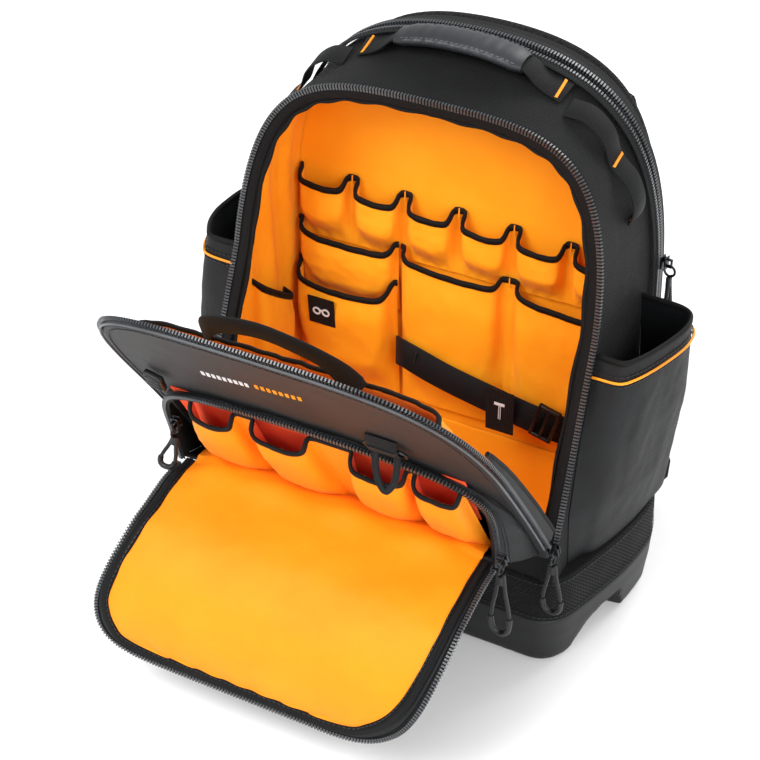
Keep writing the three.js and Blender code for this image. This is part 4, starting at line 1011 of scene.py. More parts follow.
def makeZip(name, path, outs, radius, node, tapeWide=9, tapeShift=-4.5, replaced=True):
    runs = tangents(path)
    sides = [(o - t * o.dot(t)).normalized() for o, t in zip(outs, runs)]
    core = sweep("core", path, sides, roundSection(radius * zipSet["core"], 8), zipTape)
    places = toothPlaces(path, outs, zipSet["toothPitch"], radius, radius * zipSet["stand"])
    teeth = blocks("teeth", places, coilNylonPaintedHighlight)
    back = [p + s * tapeShift for p, s in zip(path, sides)]
    strip = sweep("tape", back, sides, roundedStrip(tapeWide, 0.9), zipTape)
    piece = joinPieces([core, teeth, strip], name)
    settle(piece, "zip_coil", *([node] if replaced else []))
    return piece


def bodyZipPath(depth, lift, start, forward):
    shares = [start] + [share for share in fineShares if share > start + 0.004]
    rows = [insetPoint(share, depth, -lift) for share in shares]
    return wholeLoop([p - Vector((0, forward, 0)) for p in rows])


def makeZips():
    path = bodyZipPath(0, 0.5, sillShare + 0.008, 3.2)
    outward = [Vector((p.x, -30, (p.z - 280) * 1.1)).normalized() for p in path]
    makeZip("mainZip", path, outward, 2.3, "main_zip", 11, -5.5)
    for name, depth, lift, away in (("rear_zip_front", 0.955, 3.6, 1), ("rear_zip_rear", 1.16, 3.5, -1)):
        path = bodyZipPath(depth, lift, 0.02, 0)
        makeZip(name.replace("_zip_", "Zip_"), path, [Vector((0, away, 0))] * len(path), 2.3, name, 10, -5)
    line = [(x, v) for x, v in doorFlat(0, 26)]
    path = [doorPlace(x, v, 1.6) for x, v in line]
    outward = [(doorPlace(x, v, 1.6) - doorPlace(0, 150, 1.6)).normalized() for x, v in line]
    makeZip("doorZip", path, outward, 2.3, "door_zip", 7, -3.5)


makeZips()
print("zips made")


# Padded lips inside the coil on the lower sides of the door
def makeLips():
    half = doorHalf(0, 0)

    def edgeX(v):
        n = 1
        while n < len(half) - 1 and half[n][1] < v:
            n += 1
        (ax, av), (bx, bv) = half[n - 1], half[n]
        return mix(ax, bx, (v - av) / (bv - av))

    for name, side in (("right", 1), ("left", -1)):
        rows = []
        for n in range(40):
            v = mix(24, 230, n / 39)
            deep = 1.1 + 11.9 * math.sqrt(max(0, 1 - n / 41.5))
            row = []
            for m in range(9):
                k = m / 8
                soft = 0.7 * math.sin(math.pi * k) + 0.35 * ripple(v, k * 9, 0, 12, side)
                row.append(doorPlace(side * (edgeX(v) + soft - 0.2), v, -mix(1.1, deep, k)))
            rows.append(row)
        lip = clothSheet(f"doorLip_{name}", rows, [coated], 2.2, away=doorPlace(0, 100, 0))
        settle(lip, "smooth_black_cloth", f"door_lip_{name}")
        rim = [row[-1] for row in rows]
        outs = [doorOut(100)] * len(rim)
        settle(stripBinding(f"doorLipBinding_{name}", rim, outs, 4, 3.2), "black_webbing")


makeLips()

# Front pocket on the door, deep at the flap's hinge and thin at its top
hingeY = -199
hingeZ = 160
pocketRim = [(148, -197, 162), (149, -205, 196), (146, -217, 230), (132, -229, 252), (104, -237, 265),
             (55, -242, 272), (0, -243, 274)]
pocketRoot = [(160, 8), (160, 62), (156, 112), (142, 146), (110, 165), (56, 174), (0, 177)]


def symmetricLine(half, count):
    whole = [Vector(p) for p in half] + [Vector((-p[0], *p[1:])) for p in reversed(half[:-1])]
    return smoothLine(whole, count)


def makeFrontPocket():
    count = 150
    pad = doorSet["pad"] + 0.5
    root = [doorPlace(p.x, p.y, pad) for p in symmetricLine([(x, v, 0) for x, v in pocketRoot], count)]
    rim = symmetricLine(pocketRim, count)
    rows = []
    for n in range(13):
        k = n / 12
        row = []
        for i, (a, b) in enumerate(zip(root, rim)):
            p = a.lerp(b, k)
            swell = (3 + 1.8 * ripple(i * 2.2, k * 30, 0, 16, 4)) * math.sin(math.pi * k)
            out = Vector((p.x, 0, max(0, p.z - 215) * 1.4)).normalized()
            row.append(p + out * swell)
        rows.append(row)
    gusset = clothSheet("gusset", rows, [coated], 1.8, away=(0, -200, 200))
    low = []
    for n in range(9):
        k = n / 8
        row = []
        for i in range(61):
            s = i / 30 - 1
            a = doorPlace(160 * s, 8, pad)
            b = Vector((148 * s, hingeY + 2, hingeZ + 2))
            p = a.lerp(b, k)
            row.append(p + Vector((0, 0, -1.2 * math.sin(math.pi * k) + 0.6 * ripple(p.x, p.y, 0, 24, 2))))
        low.append(row)
    floor = clothSheet("floor", low, [coated], 1.8, away=(0, -180, 260))
    pocket = joinPieces([gusset, floor], "frontPocket")
    settle(pocket, "smooth_black_cloth", "front_pocket")
    seams = []
    for k in (0.12, 0.78, 0.86):
        row = rows[round(k * 12)]
        line = [p + Vector((p.x, 0, 20)).normalized() * 0.4 for p in row]
        seams += stitchPlaces(line, [b - a for a, b in zip(rows[3], rows[9])])
    settle(blocks("frontPocketStitches", seams, threadBlack), "black_webbing")
    edge = symmetricLine(pocketRim, 170)
    middle = Vector((0, -215, 205))
    outward = [(p - middle).normalized() for p in edge]
    path = [p + Vector((o.x, 0, o.z)) * 1.3 + Vector((0, -2, 0)) for p, o in zip(edge, outward)]
    makeZip("frontPocketZip", path, outward, 1.9, "front_pocket_zip", 5, -2.5)


makeFrontPocket()
print("front pocket made")


# Pockets sewn from one strip of cloth that bulges between its seams
def swellAt(heights, share):
    for (a, low), (b, high) in zip(heights, heights[1:]):
        if share <= b:
            return mix(low, high, smooth((share - a) / (b - a)))
    return heights[-1][1]


# Plan of one pocket between its seams, as shares of its half width and of its bulge: the cloth leaves
# the seam squarely, turns at a soft corner and runs nearly flat across the front.
planLine = smoothLine([(-1, 0, 0), (-0.955, 0.03, 0), (-0.925, 0.3, 0), (-0.9, 0.62, 0), (-0.8, 0.87, 0),
                       (-0.5, 0.98, 0), (0, 1.02, 0), (0.5, 0.98, 0), (0.8, 0.87, 0), (0.9, 0.62, 0),
                       (0.925, 0.3, 0), (0.955, 0.03, 0), (1, 0, 0)], 241)


def planAt(k):
    at = clamp(k) * 240
    n = min(int(at), 239)
    return planLine[n].lerp(planLine[n + 1], at - n)


fullHeights = [(0, 0.3), (0.35, 0.9), (0.75, 1), (1, 0.85)]
lowHeights = [(0, 0.05), (0.5, 1), (1, 0.9)]


def stripGrid(waves, heights, place, thickness, seed, rows=26, fine=30):
    grid = []
    for n in range(rows + 1):
        share = n / rows
        swell = swellAt(heights, share)
        row = []
        for number, w in enumerate(waves):
            steps = max(2, int(fine * w.get("fine", 1)))
            lowFrom, lowTo = w.get("low", (w["from"], w["to"]))
            left, right = mix(lowFrom, w["from"], share), mix(lowTo, w["to"], share)
            for i in range(1 if number else 0, steps + 1):
                k = i / steps
                square = smooth(share * 1.6) if w["bulge"] else 0
                arch = math.sin(math.pi * k) ** w.get("power", 0.5) if 0 < k < 1 else 0
                plan = planAt(k)
                arch = mix(arch, plan.y, square)
                k = mix(k, (plan.x + 1) / 2, square)
                top = w["mouth"] + w.get("slope", 0) * (k - 0.5) - w["dip"] * arch ** 1.6
                z = mix(w["base"], top, share)
                x = mix(left, right, k)
                out = 0.5 + thickness + w["bulge"] * swell * arch
                soft = 1.5 * ripple(x, z * 0.5, 0, 19, seed) + 0.7 * ripple(x, z, 0, 8, seed + 3)
                gather = 0.9 * math.sin(k * math.pi * 7) * smooth(1 - share * 3.2)
                loose = min(1, arch * 1.4) * min(1, w["bulge"] / 10)
                out += (soft + gather) * loose * smooth(share * 6 + 0.3)
                row.append(place(x, z, out))
        grid.append(row)
    return grid


def makeStrip(name, node, waves, heights, place, seed, look, inner, toward, boundWide=6.4):
    grid = stripGrid(waves, heights, place, 1.6, seed)
    looks = [look, inner] if inner else [look]
    piece = clothSheet(name, grid, looks, 1.5, away=toward)
    settle(piece, "orange_lining", node)
    top = grid[-1]
    downs = [(b - a).normalized() for a, b in zip(top, grid[-3])]
    edge = [p + d * (boundWide / 2 - 1.4) for p, d in zip(top, downs)]
    count = max(40, int(pathLengths(edge)[-1] / 1.3))
    edge, downs = evenly(edge, count, downs)
    settle(stripBinding(name + "Binding", edge, downs, boundWide, 3.2), "black_webbing")
    return grid


def doorBase(x, z, out):
    k = (z - hingeZ) / (262 - hingeZ)
    return Vector((x, -176 - 57 * k - out, z))


organiserBase = 155.6


def makeOrganiser():
    flatBit = {"mouth": 263, "dip": 0, "bulge": 0, "base": organiserBase, "fine": 0.2}
    full = {"mouth": 261, "dip": 16, "bulge": 18, "base": organiserBase}
    waves = [
        {**full, "from": -110, "to": -68, "low": (-134, -62)},
        {**flatBit, "from": -68, "to": -53, "low": (-62, -58)},
        {**full, "from": -53, "to": 0, "low": (-58, 8)},
        {**flatBit, "from": 0, "to": 36, "low": (8, 14)},
        {**full, "from": 36, "to": 87, "low": (14, 76)},
        {**flatBit, "from": 87, "to": 91, "low": (76, 80)},
        {**full, "from": 91, "to": 131, "low": (80, 135), "mouth": 257, "slope": -6, "dip": 14},
    ]
    makeStrip("frontOrganiser", "front_organiser", waves, fullHeights, doorBase, 11, flapLitLining, redLining,
              (0, 60, 330), 5.6)
    # Red cloth behind the organiser's mouths, against the door
    rows = []
    for n in range(9):
        z = mix(200, 262, n / 8)
        rows.append([doorBase(x * 4 - 132, z, -3 + 0.8 * ripple(x * 4, 0, z, 22, 8)) for x in range(67)])
    settle(clothSheet("organiserBack", rows, [redLining], 1.0, away=(0, 60, 330)), "orange_lining")


makeOrganiser()
print("organiser made")

# The pocket flap hangs forward from its hinge
flapLine = smoothLine([(0, hingeY + 1.6, hingeZ + 2), (0, -236, 160), (0, -276, 149), (0, -306, 124),
                       (0, -321, 88), (0, -325, 51)], 201)
flapLength = pathLengths(flapLine)[-1]
flapTable = [(0, -144, 145), (0.14, -144, 146), (0.3, -143, 147), (0.46, -146, 146.5), (0.62, -152, 142),
             (0.75, -157, 134), (0.85, -156, 123), (0.92, -151, 110), (0.965, -142, 97), (0.99, -126, 82),
             (1, -104, 64)]


def flapPlace(x, u, lift):
    at = clamp(u / flapLength) * 200
    n = min(int(at), 199)
    p = flapLine[n].lerp(flapLine[n + 1], at - n)
    t = (flapLine[min(n + 2, 200)] - flapLine[max(n - 1, 0)]).normalized()
    past = max(0, u - flapLength)
    return Vector((x, p.y + t.y * past + t.z * lift, p.z + t.z * past - t.y * lift))


flapEdges = smoothLine([(along * 200, left, right) for along, left, right in flapTable], 400)


def flapSides(share):
    n = 1
    while n < 399 and flapEdges[n].x < share * 200:
        n += 1
    a, b = flapEdges[n - 1], flapEdges[n]
    k = clamp((share * 200 - a.x) / max(b.x - a.x, 1e-6))
    return mix(a.y, b.y, k), mix(a.z, b.z, k)


def flapPoint(share, k, inset, low, lift):
    left, right = flapSides(share)
    u = mix(low, flapLength - inset, share)
    trim = mix(inset, 0.5 * inset, smooth((share - 0.93) / 0.07))
    x = mix(left + trim, right - trim, k)
    wave = 1.5 * ripple(x * 0.7, u, 0, 46, 6) + 0.6 * ripple(x, u, 0, 16, 2)
    return flapPlace(x, u, lift + wave * smooth(share * 6) * smooth((1 - share) * 8 + 0.3))


def flapRows(count):
    # Rows crowd towards the free end, where the corners turn
    return [1 - (1 - n / count) ** 1.7 for n in range(count + 1)]


def makeFlap():
    shares = flapRows(60)
    grid = [[flapPoint(share, i / 60, 0, 0, 0) for i in range(61)] for share in shares]
    flap = clothSheet("pocketFlap", grid, [coated], 2.2, away=(0, -200, 60))
    settle(flap, "smooth_black_cloth", "pocket_flap")
    rows = []
    # The lining runs on over the pocket's floor to the foot of the organiser
    for n in range(8):
        s = n / 8
        row = []
        for i in range(61):
            x = mix(-134, 135, i / 60)
            y, z = mix(-176, hingeY + 1, s), mix(164.2, 165.5, s)
            bump = 5.5 * math.sin(math.pi * s * 0.5) * smooth((1 - abs(x) / 140) * 5)
            bump *= 1 + 0.35 * math.sin(x * 0.088 + 0.6)
            row.append(Vector((x, y, z + bump + 0.8 * ripple(x, y, 0, 18, 4))))
        rows.append(row)
    for share in shares:
        row = []
        for i in range(61):
            k = i / 60
            edge = min(k, 1 - k) * 2
            pillow = smooth(edge * 9) * smooth((1 - share) * 14)
            # A soft roll where the lining turns at the hinge, pushed up by the pockets behind it
            roll = 7.0 * math.exp(-((share - 0.03) / 0.09) ** 2) * smooth(edge * 4)
            roll *= 1 + 0.35 * math.sin(k * 24 + 0.6)
            # Short puckers along the seam of the border
            near = 1 - smooth(min(edge * 6, (1 - share) * 9))
            pucker = 0.5 * near * math.sin((k * 41 if share > 0.85 else share * 33)) * smooth(share * 8)
            p = flapPoint(share, k, 10, 1, 1.3 + 1.4 * pillow + roll + pucker)
            row.append(p)
        rows.append(row)
    inside = clothSheet("flapLitLining", rows, [flapLitLining], 0.9, away=(0, -200, 60))
    settle(inside, "orange_lining", "flap_lining")
    # Grosgrain border between the lining and the coil
    outline = [(share, 1) for share in shares] + [(1, 1 - n / 40) for n in range(1, 40)]
    outline += [(share, 0) for share in reversed(shares)]
    line = [flapPoint(share, k, 6.5, 4, 1.4) for share, k in outline]
    middle = flapPlace(0, flapLength * 0.55, 0)
    outward = [(p - middle).normalized() for p in line]
    line, outward = evenly(line, 260, outward)
    border = sweep("flapBorder", line, outward, roundedStrip(8.5, 1.6), tape)
    settle(border, "black_webbing")
    seam = [flapPoint(share, k, 9.2, 4, 2.7) for share, k in outline]
    seam, across = evenly(seam, 260, [(p - middle).normalized() for p in seam])
    settle(blocks("flapStitches", stitchPlaces(seam, across), threadBlack), "black_webbing")
    line = [flapPoint(share, k, -3.4, 8, -1.2) for share, k in outline]
    line, outward = evenly(line, 300, [(p - middle).normalized() for p in line])
    makeZip("flapZip", line, outward, 1.9, "flap_zip", 6, -3)


makeFlap()
print("flap made")


# Pockets inside the compartment
def wallPlace(x, z, out):
    return Vector((x, bodySet["dividerY"] - out, z))


def layered(base, lift, fullZ):
    return lambda x, z, out: wallPlace(x, z, out + lift * min(1, (z - base) / (fullZ - base)))


def makeInnerPockets():
    behind = (0, 600, 300)
    pitch = 52.4
    band = 4.2
    row = []
    for i in range(6):
        left, right = (i - 3) * pitch, (i - 2) * pitch
        row.append({"from": left + (band if i else 0), "to": right - (band if i < 5 else 0),
                    "mouth": 332 - 2.4 * i, "slope": -2.4, "dip": 11, "bulge": 14, "base": 262})
        if i < 5:
            row.append({"from": right - band, "to": right + band, "mouth": 332.6 - 2.4 * i,
                        "dip": 0, "bulge": 0, "base": 262, "fine": 0.2})
    makeStrip("smallPockets", "small_pocket_row", row, lowHeights, wallPlace, 21, lining, None, behind)
    # An orange bar of thread across the binding at each seam
    upright, wide, thick = Vector((0, 0, 4.6)), Vector((0.6, 0, 0)), Vector((0, 0.5, 0))
    tacks = [(wallPlace(52, 271, 8.2), upright, wide, thick, 0.8)]
    for i in range(1, 6):
        x = (i - 3) * pitch
        z = 332.6 - 2.4 * (i - 1)
        tacks.append((wallPlace(x, z - 3.2, 4.0), upright, wide, thick, 0.8))
    broad = {"dip": 9, "bulge": 15, "base": 112, "power": 0.35, "fine": 1.8}
    makeStrip("widePockets", "wide_pockets", [
        {**broad, "from": -54, "to": 47.5, "mouth": 276, "slope": -5},
        {**broad, "from": 47.5, "to": 56.5, "mouth": 274, "dip": 0, "bulge": 0, "fine": 0.2},
        {**broad, "from": 56.5, "to": 158, "mouth": 270, "slope": -7},
    ], fullHeights, layered(112, 4.2, 240), 31, lining, None, behind)
    makeStrip("upperLeftPocket", "upper_left_pocket", [
        {"from": -158, "to": -57, "mouth": 280, "slope": -2, "dip": 10, "bulge": 15, "base": 206,
         "power": 0.35, "fine": 1.8}], fullHeights, layered(206, 4.2, 240), 41, lining, None, behind)
    makeStrip("lowerLeftPocket", "lower_left_pocket", [
        {"from": -158, "to": -57, "mouth": 240, "dip": 15, "bulge": 24, "base": 112,
         "power": 0.4, "fine": 1.8}], fullHeights, layered(112, 6.6, 206), 51, lining, None, behind)
    for name, side in (("right", 1), ("left", -1)):
        def sidePlace(y, z, out):
            return Vector((side * (bodyHalfWidth(y, z) - 3.7 - out), y, z))
        makeStrip(f"innerSidePocket_{name}", f"inner_side_pocket_{name}", [
            {"from": -58, "to": 4, "mouth": 236, "slope": -46, "dip": 6, "bulge": 16, "base": 112,
             "power": 0.7, "fine": 1.3}], fullHeights, sidePlace, 61, lining, None, (side * 600, -20, 200))
    settle(blocks("rowTacks", tacks, threadOrange), "orange_lining")
    outer = doorPlace(0, 150, 300)
    inside = lambda x, z, out: doorPlace(x, z, -(0.4 + out))
    makeStrip("doorInnerPocket", "door_inner_pocket", [
        {"from": -140, "to": 140, "mouth": 262, "dip": 4, "bulge": 20, "base": 30, "power": 0.35, "fine": 3}],
        fullHeights, inside, 71, lining, None, tuple(outer))


makeInnerPockets()
print("inner pockets made")


# Webbing pieces
def makeTape(name, path, side, wide, thick, count, node, look=webbing, slot="black_webbing"):
    line = smoothLine(path, count)
    sides = [Vector(side(n / (count - 1)) if callable(side) else side) for n in range(count)]
    piece = sweep(name, line, sides, roundedStrip(wide, thick), look)
    settle(piece, slot, *([node] if node else []))
    return line, sides


def onBody(share, y, lift):
    a = depthPoint(share, 0).y
    b = depthPoint(share, 1).y
    p = insetPoint(share, (y - a) / (b - a), -lift)
    return Vector((p.x, y, p.z))


def shareAtX(x, y):
    return min((0.3 + 0.002 * n for n in range(351)), key=lambda s: abs(onBody(s, y, 0).x - x))


topTilt = 0.29
handleSet = {"y": 28, "grip": [(57, 479.8), (40, 483.6), (20, 486.4), (0, 487), (-20, 486.4), (-40, 483.6),
                                (-57, 479.8)]}


def makeHandle():
    y = handleSet["y"]
    foot = [onBody(shareAtX(x, y), y, 2.4) for x in (92, 84, 78)]
    right = [tuple(p) for p in foot] + [(70, y, 471), (58, y, 480)]
    middle = [(x, y, z) for x, z in handleSet["grip"][1:-1]]
    path = right + middle + [(-x, y2, z) for x, y2, z in reversed(right)]
    side = lambda k: Vector((0, 1, topTilt * max(0, (abs(k - 0.5) - 0.3) / 0.2)))
    makeTape("handleWebbing", path, side, 26, 1.9, 90, "handle_webbing")
    rows = []
    profile = smoothLine([(x, y, z) for x, z in handleSet["grip"]], 61)
    for n, p in enumerate(profile):
        k = abs(n / 60 - 0.5) * 2
        end = 1 - 0.16 * smooth((k - 0.82) / 0.18)
        ridge = 1 + 0.03 * math.sin(n * 1.05) * smooth((0.8 - k) * 5)
        row = []
        for i in range(36):
            a = 2 * math.pi * i / 36
            seam = 0.9 - 0.1 * math.exp(-((math.sin(a) ** 2) / 0.02)) if abs(math.cos(a)) > 0.9 else 1
            r = end * (ridge if math.sin(a) > -0.2 else 1) * (0.97 + 0.03 * seam)
            row.append(Vector((p.x, p.y + 16.5 * r * math.cos(a), p.z + 7.2 * r * math.sin(a))))
        rows.append(row)
    grip = clothSheet("handleGrip", rows, [gripRubber], 1.6, away=(0, y, 483), closed=True)
    settle(grip, "grip_rubber", "handle_grip")
    seams = []
    for angle in (0.5, math.pi - 0.5):
        shift = Vector((0, 16.9 * math.cos(angle), 7.7 * math.sin(angle)))
        edge = [p + shift for p in profile[3:-3]]
        seams += stitchPlaces(edge, [Vector((0, 1, 0))] * len(edge), 3, 1.4, 0.45)
    settle(blocks("gripStitches", seams, pipingGrey), "grip_rubber")
    bars = []
    for sign in (1, -1):
        p = onBody(shareAtX(86, y), y, 3.4)
        up = Vector((0.3 * sign, -0.3, 1)).normalized()
        bars += bartackPlaces(Vector((sign * p.x, p.y, p.z)), Vector((0, 1, topTilt)), up, 22, 2.6)
    for sign in (1, -1):
        for x, lift in ((141, 3.9), (159, 3.5)):
            p = onBody(shareAtX(x, 16), 16, lift)
            up = Vector((sign * (0.9 if x < 150 else 2.2), -0.2, 1)).normalized()
            bars += bartackPlaces(Vector((sign * p.x, p.y, p.z)), Vector((0, 1, 0.25)), up, 18, 2.4)
    settle(blocks("orangeBartacks", bars, threadOrange), "black_webbing")


def makeGearLoops():
    rows = [(99, 2.2), (113, 9), (128, 9), (141, 2.6), (150, 9), (157, 9), (160, 2.2)]
    path = [tuple(onBody(shareAtX(x, 16), 16, lift)) for x, lift in rows]
    path.append(tuple(onBody(0.4, 16, 1.6)))
    for name, sign in (("right", 1), ("left", -1)):
        turned = [(sign * x, y, z) for x, y, z in path]
        side = lambda k: Vector((sign * 0.1 * k, 1, topTilt * (1 - k)))
        makeTape(f"gearLoop_{name}", turned, side, 22, 1.7, 90, f"gear_loop_{name}")


makeHandle()
makeGearLoops()
print("handle made")


def makeStraps():
    path = [(72, 114.2, 388), (76, 124, 417), (80, 137, 417), (84, 146, 390), (86, 153, 345), (90, 158, 290),
            (101, 154, 220), (112, 146, 160)]
    lower = [(112.4, 145.8, 158.2), (124, 144, 116), (142, 140, 82), (160, 135, 60), (168, 129, 52)]
    tab = [(0, 57), (0, 88), (10, 84), (26, 64), (34, 44), (33, 24), (26, 18), (12, 36)]
    # The pad's section is full in the middle and thin at its bound edges.
    front = [(30, -1.2), (30.5, 0), (30, 1.2), (27, 2.6), (20, 4.8), (10, 5.4), (0, 5.5), (-10, 5.4),
             (-20, 4.8), (-27, 2.6)]
    section = front + [(-x, -y) for x, y in front]
    for name, sign in (("right", 1), ("left", -1)):
        line = smoothLine([(sign * x, y, z) for x, y, z in path], 70)
        sides = [Vector((1, 0, -0.4 * sign * max(0, 1 - 2.4 * n / 69))) for n in range(70)]
        pad = sweep(f"shoulderStrap_{name}", line, sides, section, padMesh)
        settle(pad, "padded_back", f"shoulder_strap_{name}")
        strip = smoothLine([(sign * x, y, z) for x, y, z in lower], 40)
        tail = sweep("tail", strip, [Vector((1, 0, 0.6 * sign))] * 40, roundedStrip(25, 1.8), webbing)
        faces = [[Vector((sign * (157.2 + along * 0.72 - t * 0.7), 112.6 + along * 0.7 + t * 0.72, z))
                  for along, z in tab] for t in (0, 3)]
        centres = [sum(face, Vector()) / len(face) for face in faces]
        rows = [[centres[0].lerp(p, 0.02) for p in faces[0]], faces[0], faces[1],
                [centres[1].lerp(p, 0.02) for p in faces[1]]]
        anchor = clothSheet("anchor", rows, [webbing], 0, away=(centres[0] + centres[1]) / 2, closed=True)
        applyModifier(anchor, "BEVEL", width=0.8 * mm, segments=2)
        both = joinPieces([tail, anchor], f"lowerWebbing_{name}")
        settle(both, "black_webbing", f"lower_webbing_{name}")
    # Padded back: two upright pads with an air channel between them
    edge = [wholeLoop([insetPoint(share, depth, inset) for share in fineShares])
            for depth, inset in ((1.7, 1.4), (1.7, 0.4), (1.78, -0.4), (1.88, 0), (1.95, 1), (1.99, 3.4),
                                 (2, 6))]
    rows = list(edge)
    outline = edge[-1]
    centre = Vector((0, 0, 280))
    for n in range(1, 41):
        k = max(1 - n / 40, 0.004)
        row = []
        for p in outline:
            x, z = p.x * k, mix(centre.z, p.z, k)
            y = bodySet["backFaceY"] + bodySet["rearLean"] * (z - bodySet["bottom"])
            pad = smooth((abs(x) - 16) / 16) * smooth((118 - abs(x)) / 14) * smooth((z - 118) / 14)
            pad *= smooth((436 - z) / 14)
            quilt = 1 - 0.75 * math.exp(-((((z - 118) % 79.5) - 39.75) / 3.4) ** 2)
            row.append(Vector((x, y + 5.2 * pad * quilt * smooth((1 - k) * 12) - 0.6, z)))
        rows.append(row)
    flat = lambda r, c: (rows[r][c % len(outline)].x, rows[r][c % len(outline)].z)
    panel = clothSheet("backPanel", rows, [padMesh], 2.0, away=(0, 60, 280), flat=flat, closed=True)
    settle(panel, "padded_back", "back_panel")


makeStraps()
print("straps made")


def makeInnerWebbing():
    path = [(-52, 15, 173), (-40, 6, 178), (0, 4, 168), (50, 4, 158), (100, 6, 148), (136, 15, 138),
            (153, 23, 131)]
    line = makeTape("toolStrap", path, (0, 0.2, 1), 27, 1.9, 70, "tool_strap")[0]
    bars = []
    for n in (9, 36, 58):
        p = line[n]
        bars += bartackPlaces(p + Vector((0, -1.0, 0)), Vector((0.2, 0, 1)), Vector((0, -1, 0)), 20, 2.2)
    settle(blocks("strapBartacks", bars, threadBlack), "black_webbing")
    # Sewn tabs with a small plain pictogram each
    for name, centre, size, tilt in (("glasses_tab", (-122, 0.5, 202), (27, 30), 0.1),
                                     ("hammer_tab", (60, -0.9, 152), (27, 46), 0.04)):
        rows = []
        for n in range(13):
            h = mix(-size[1] / 2, size[1] / 2, n / 12)
            row = []
            for i in range(13):
                x = centre[0] + mix(-size[0] / 2, size[0] / 2, i / 12)
                soft = 0.25 * ripple(i * 3, h, 0, 12, 1)
                row.append(Vector((x, centre[1] - 0.7 - h * tilt + soft, centre[2] + h)))
            rows.append(row)
        tab = clothSheet(name.replace("_tab", "Tab"), rows, [webbing], 1.2, away=(centre[0], 60, centre[2]))
        settle(tab, "black_webbing", name)

        def mark(x, h, alongX, alongH):
            place = Vector((centre[0] + x, centre[1] - 1.15 - h * tilt, centre[2] + h))
            return place, Vector((alongX, 0, alongH)), Vector((-alongH, 0, alongX)).normalized() * 0.8, \
                Vector((0, 0.3, 0)), 1

        marks = []
        if name == "glasses_tab":
            for sign in (-1, 1):
                for n in range(16):
                    a = math.pi * n / 8
                    marks.append(mark(4.6 * sign + 3.3 * math.cos(a), 3.3 * math.sin(a), -0.8 * math.sin(a),
                                      0.8 * math.cos(a)))
            marks.append(mark(0, 1.2, 1.4, 0))
        else:
            marks += [mark(0, 0, 0, 8), mark(0.6, 0, 0, 8), mark(0, 8, 5, 0), mark(0, 9.2, 5, 0)]
        settle(blocks(name.replace("_tab", "Mark"), marks, labelWhite), "black_webbing")


makeInnerWebbing()
print("inner webbing made")


# Hard pieces, modelled from primitives
def addBox(size, centre, turn=(0, 0, 0), bevel=0.6, look=None):
    bpy.ops.object.select_all(action="DESELECT")
    bpy.ops.mesh.primitive_cube_add(size=1, location=[c * mm for c in centre], rotation=turn)
    box = bpy.context.object
    box.scale = [s * mm for s in size]
    bpy.ops.object.transform_apply(location=True, rotation=True, scale=True)
    if bevel:
        applyModifier(box, "BEVEL", width=bevel * mm, segments=3)
    box.data.materials.append(look)
    return box


def addRing(centre, major, minor, turn, look, sides=28):
    bpy.ops.object.select_all(action="DESELECT")
    bpy.ops.mesh.primitive_torus_add(location=[c * mm for c in centre], rotation=turn,
                                     major_radius=major * mm, minor_radius=minor * mm,
                                     major_segments=sides, minor_segments=10)
    ring = bpy.context.object
    bpy.ops.object.transform_apply(location=True, rotation=True, scale=True)
    ring.data.materials.append(look)
    return ring


sliderSet = {"linkRadius": 5, "linkWire": 1.1, "cord": 2.0}


def makeSlider(name, at, turn, reach, spread):
    # A flat body with a raised bridge, and a swivel link that hangs from the bridge
    wire = sliderSet["linkWire"]
    parts = [addBox((8, 1.4, 12), (0, -1.8, 0), bevel=0.5, look=blackNickel),
             addBox((8, 1.4, 12), (0, 1.8, 0), bevel=0.5, look=blackNickel),
             addBox((2.6, 4, 5), (0, 0, 3.2), bevel=0.4, look=blackNickel),
             addBox((2.8, 1.4, 8), (0, -6.6, 0.6), bevel=0.5, look=blackNickel),
             addBox((2.8, 5.4, 1.5), (0, -4.4, 4.2), bevel=0.4, look=blackNickel),
             addBox((2.8, 5.4, 1.5), (0, -4.4, -2.6), bevel=0.4, look=blackNickel),
             addRing((0, -5.6, -6.5), sliderSet["linkRadius"], wire, (0, math.pi / 2, 0), blackNickel)]
    piece = joinPieces(parts, f"{name}Slider")
    shade(piece, 40)
    piece.rotation_euler = turn
    piece.location = Vector(at) * mm
    pick(piece)
    bpy.ops.object.transform_apply(location=True, rotation=True, scale=True)
    settle(piece, "dark_metal", f"{name}_slider")
    hang = Vector((0, -5.6, -6.5))
    cosX, sinX = math.cos(turn[0]), math.sin(turn[0])
    hang = Vector((hang.x, hang.y * cosX - hang.z * sinX, hang.y * sinX + hang.z * cosX))
    cosZ, sinZ = math.cos(turn[2]), math.sin(turn[2])
    hang = Vector((hang.x * cosZ - hang.y * sinZ, hang.x * sinZ + hang.y * cosZ, hang.z)) + Vector(at)
    makePull(name, hang, Vector(reach), Vector(spread))


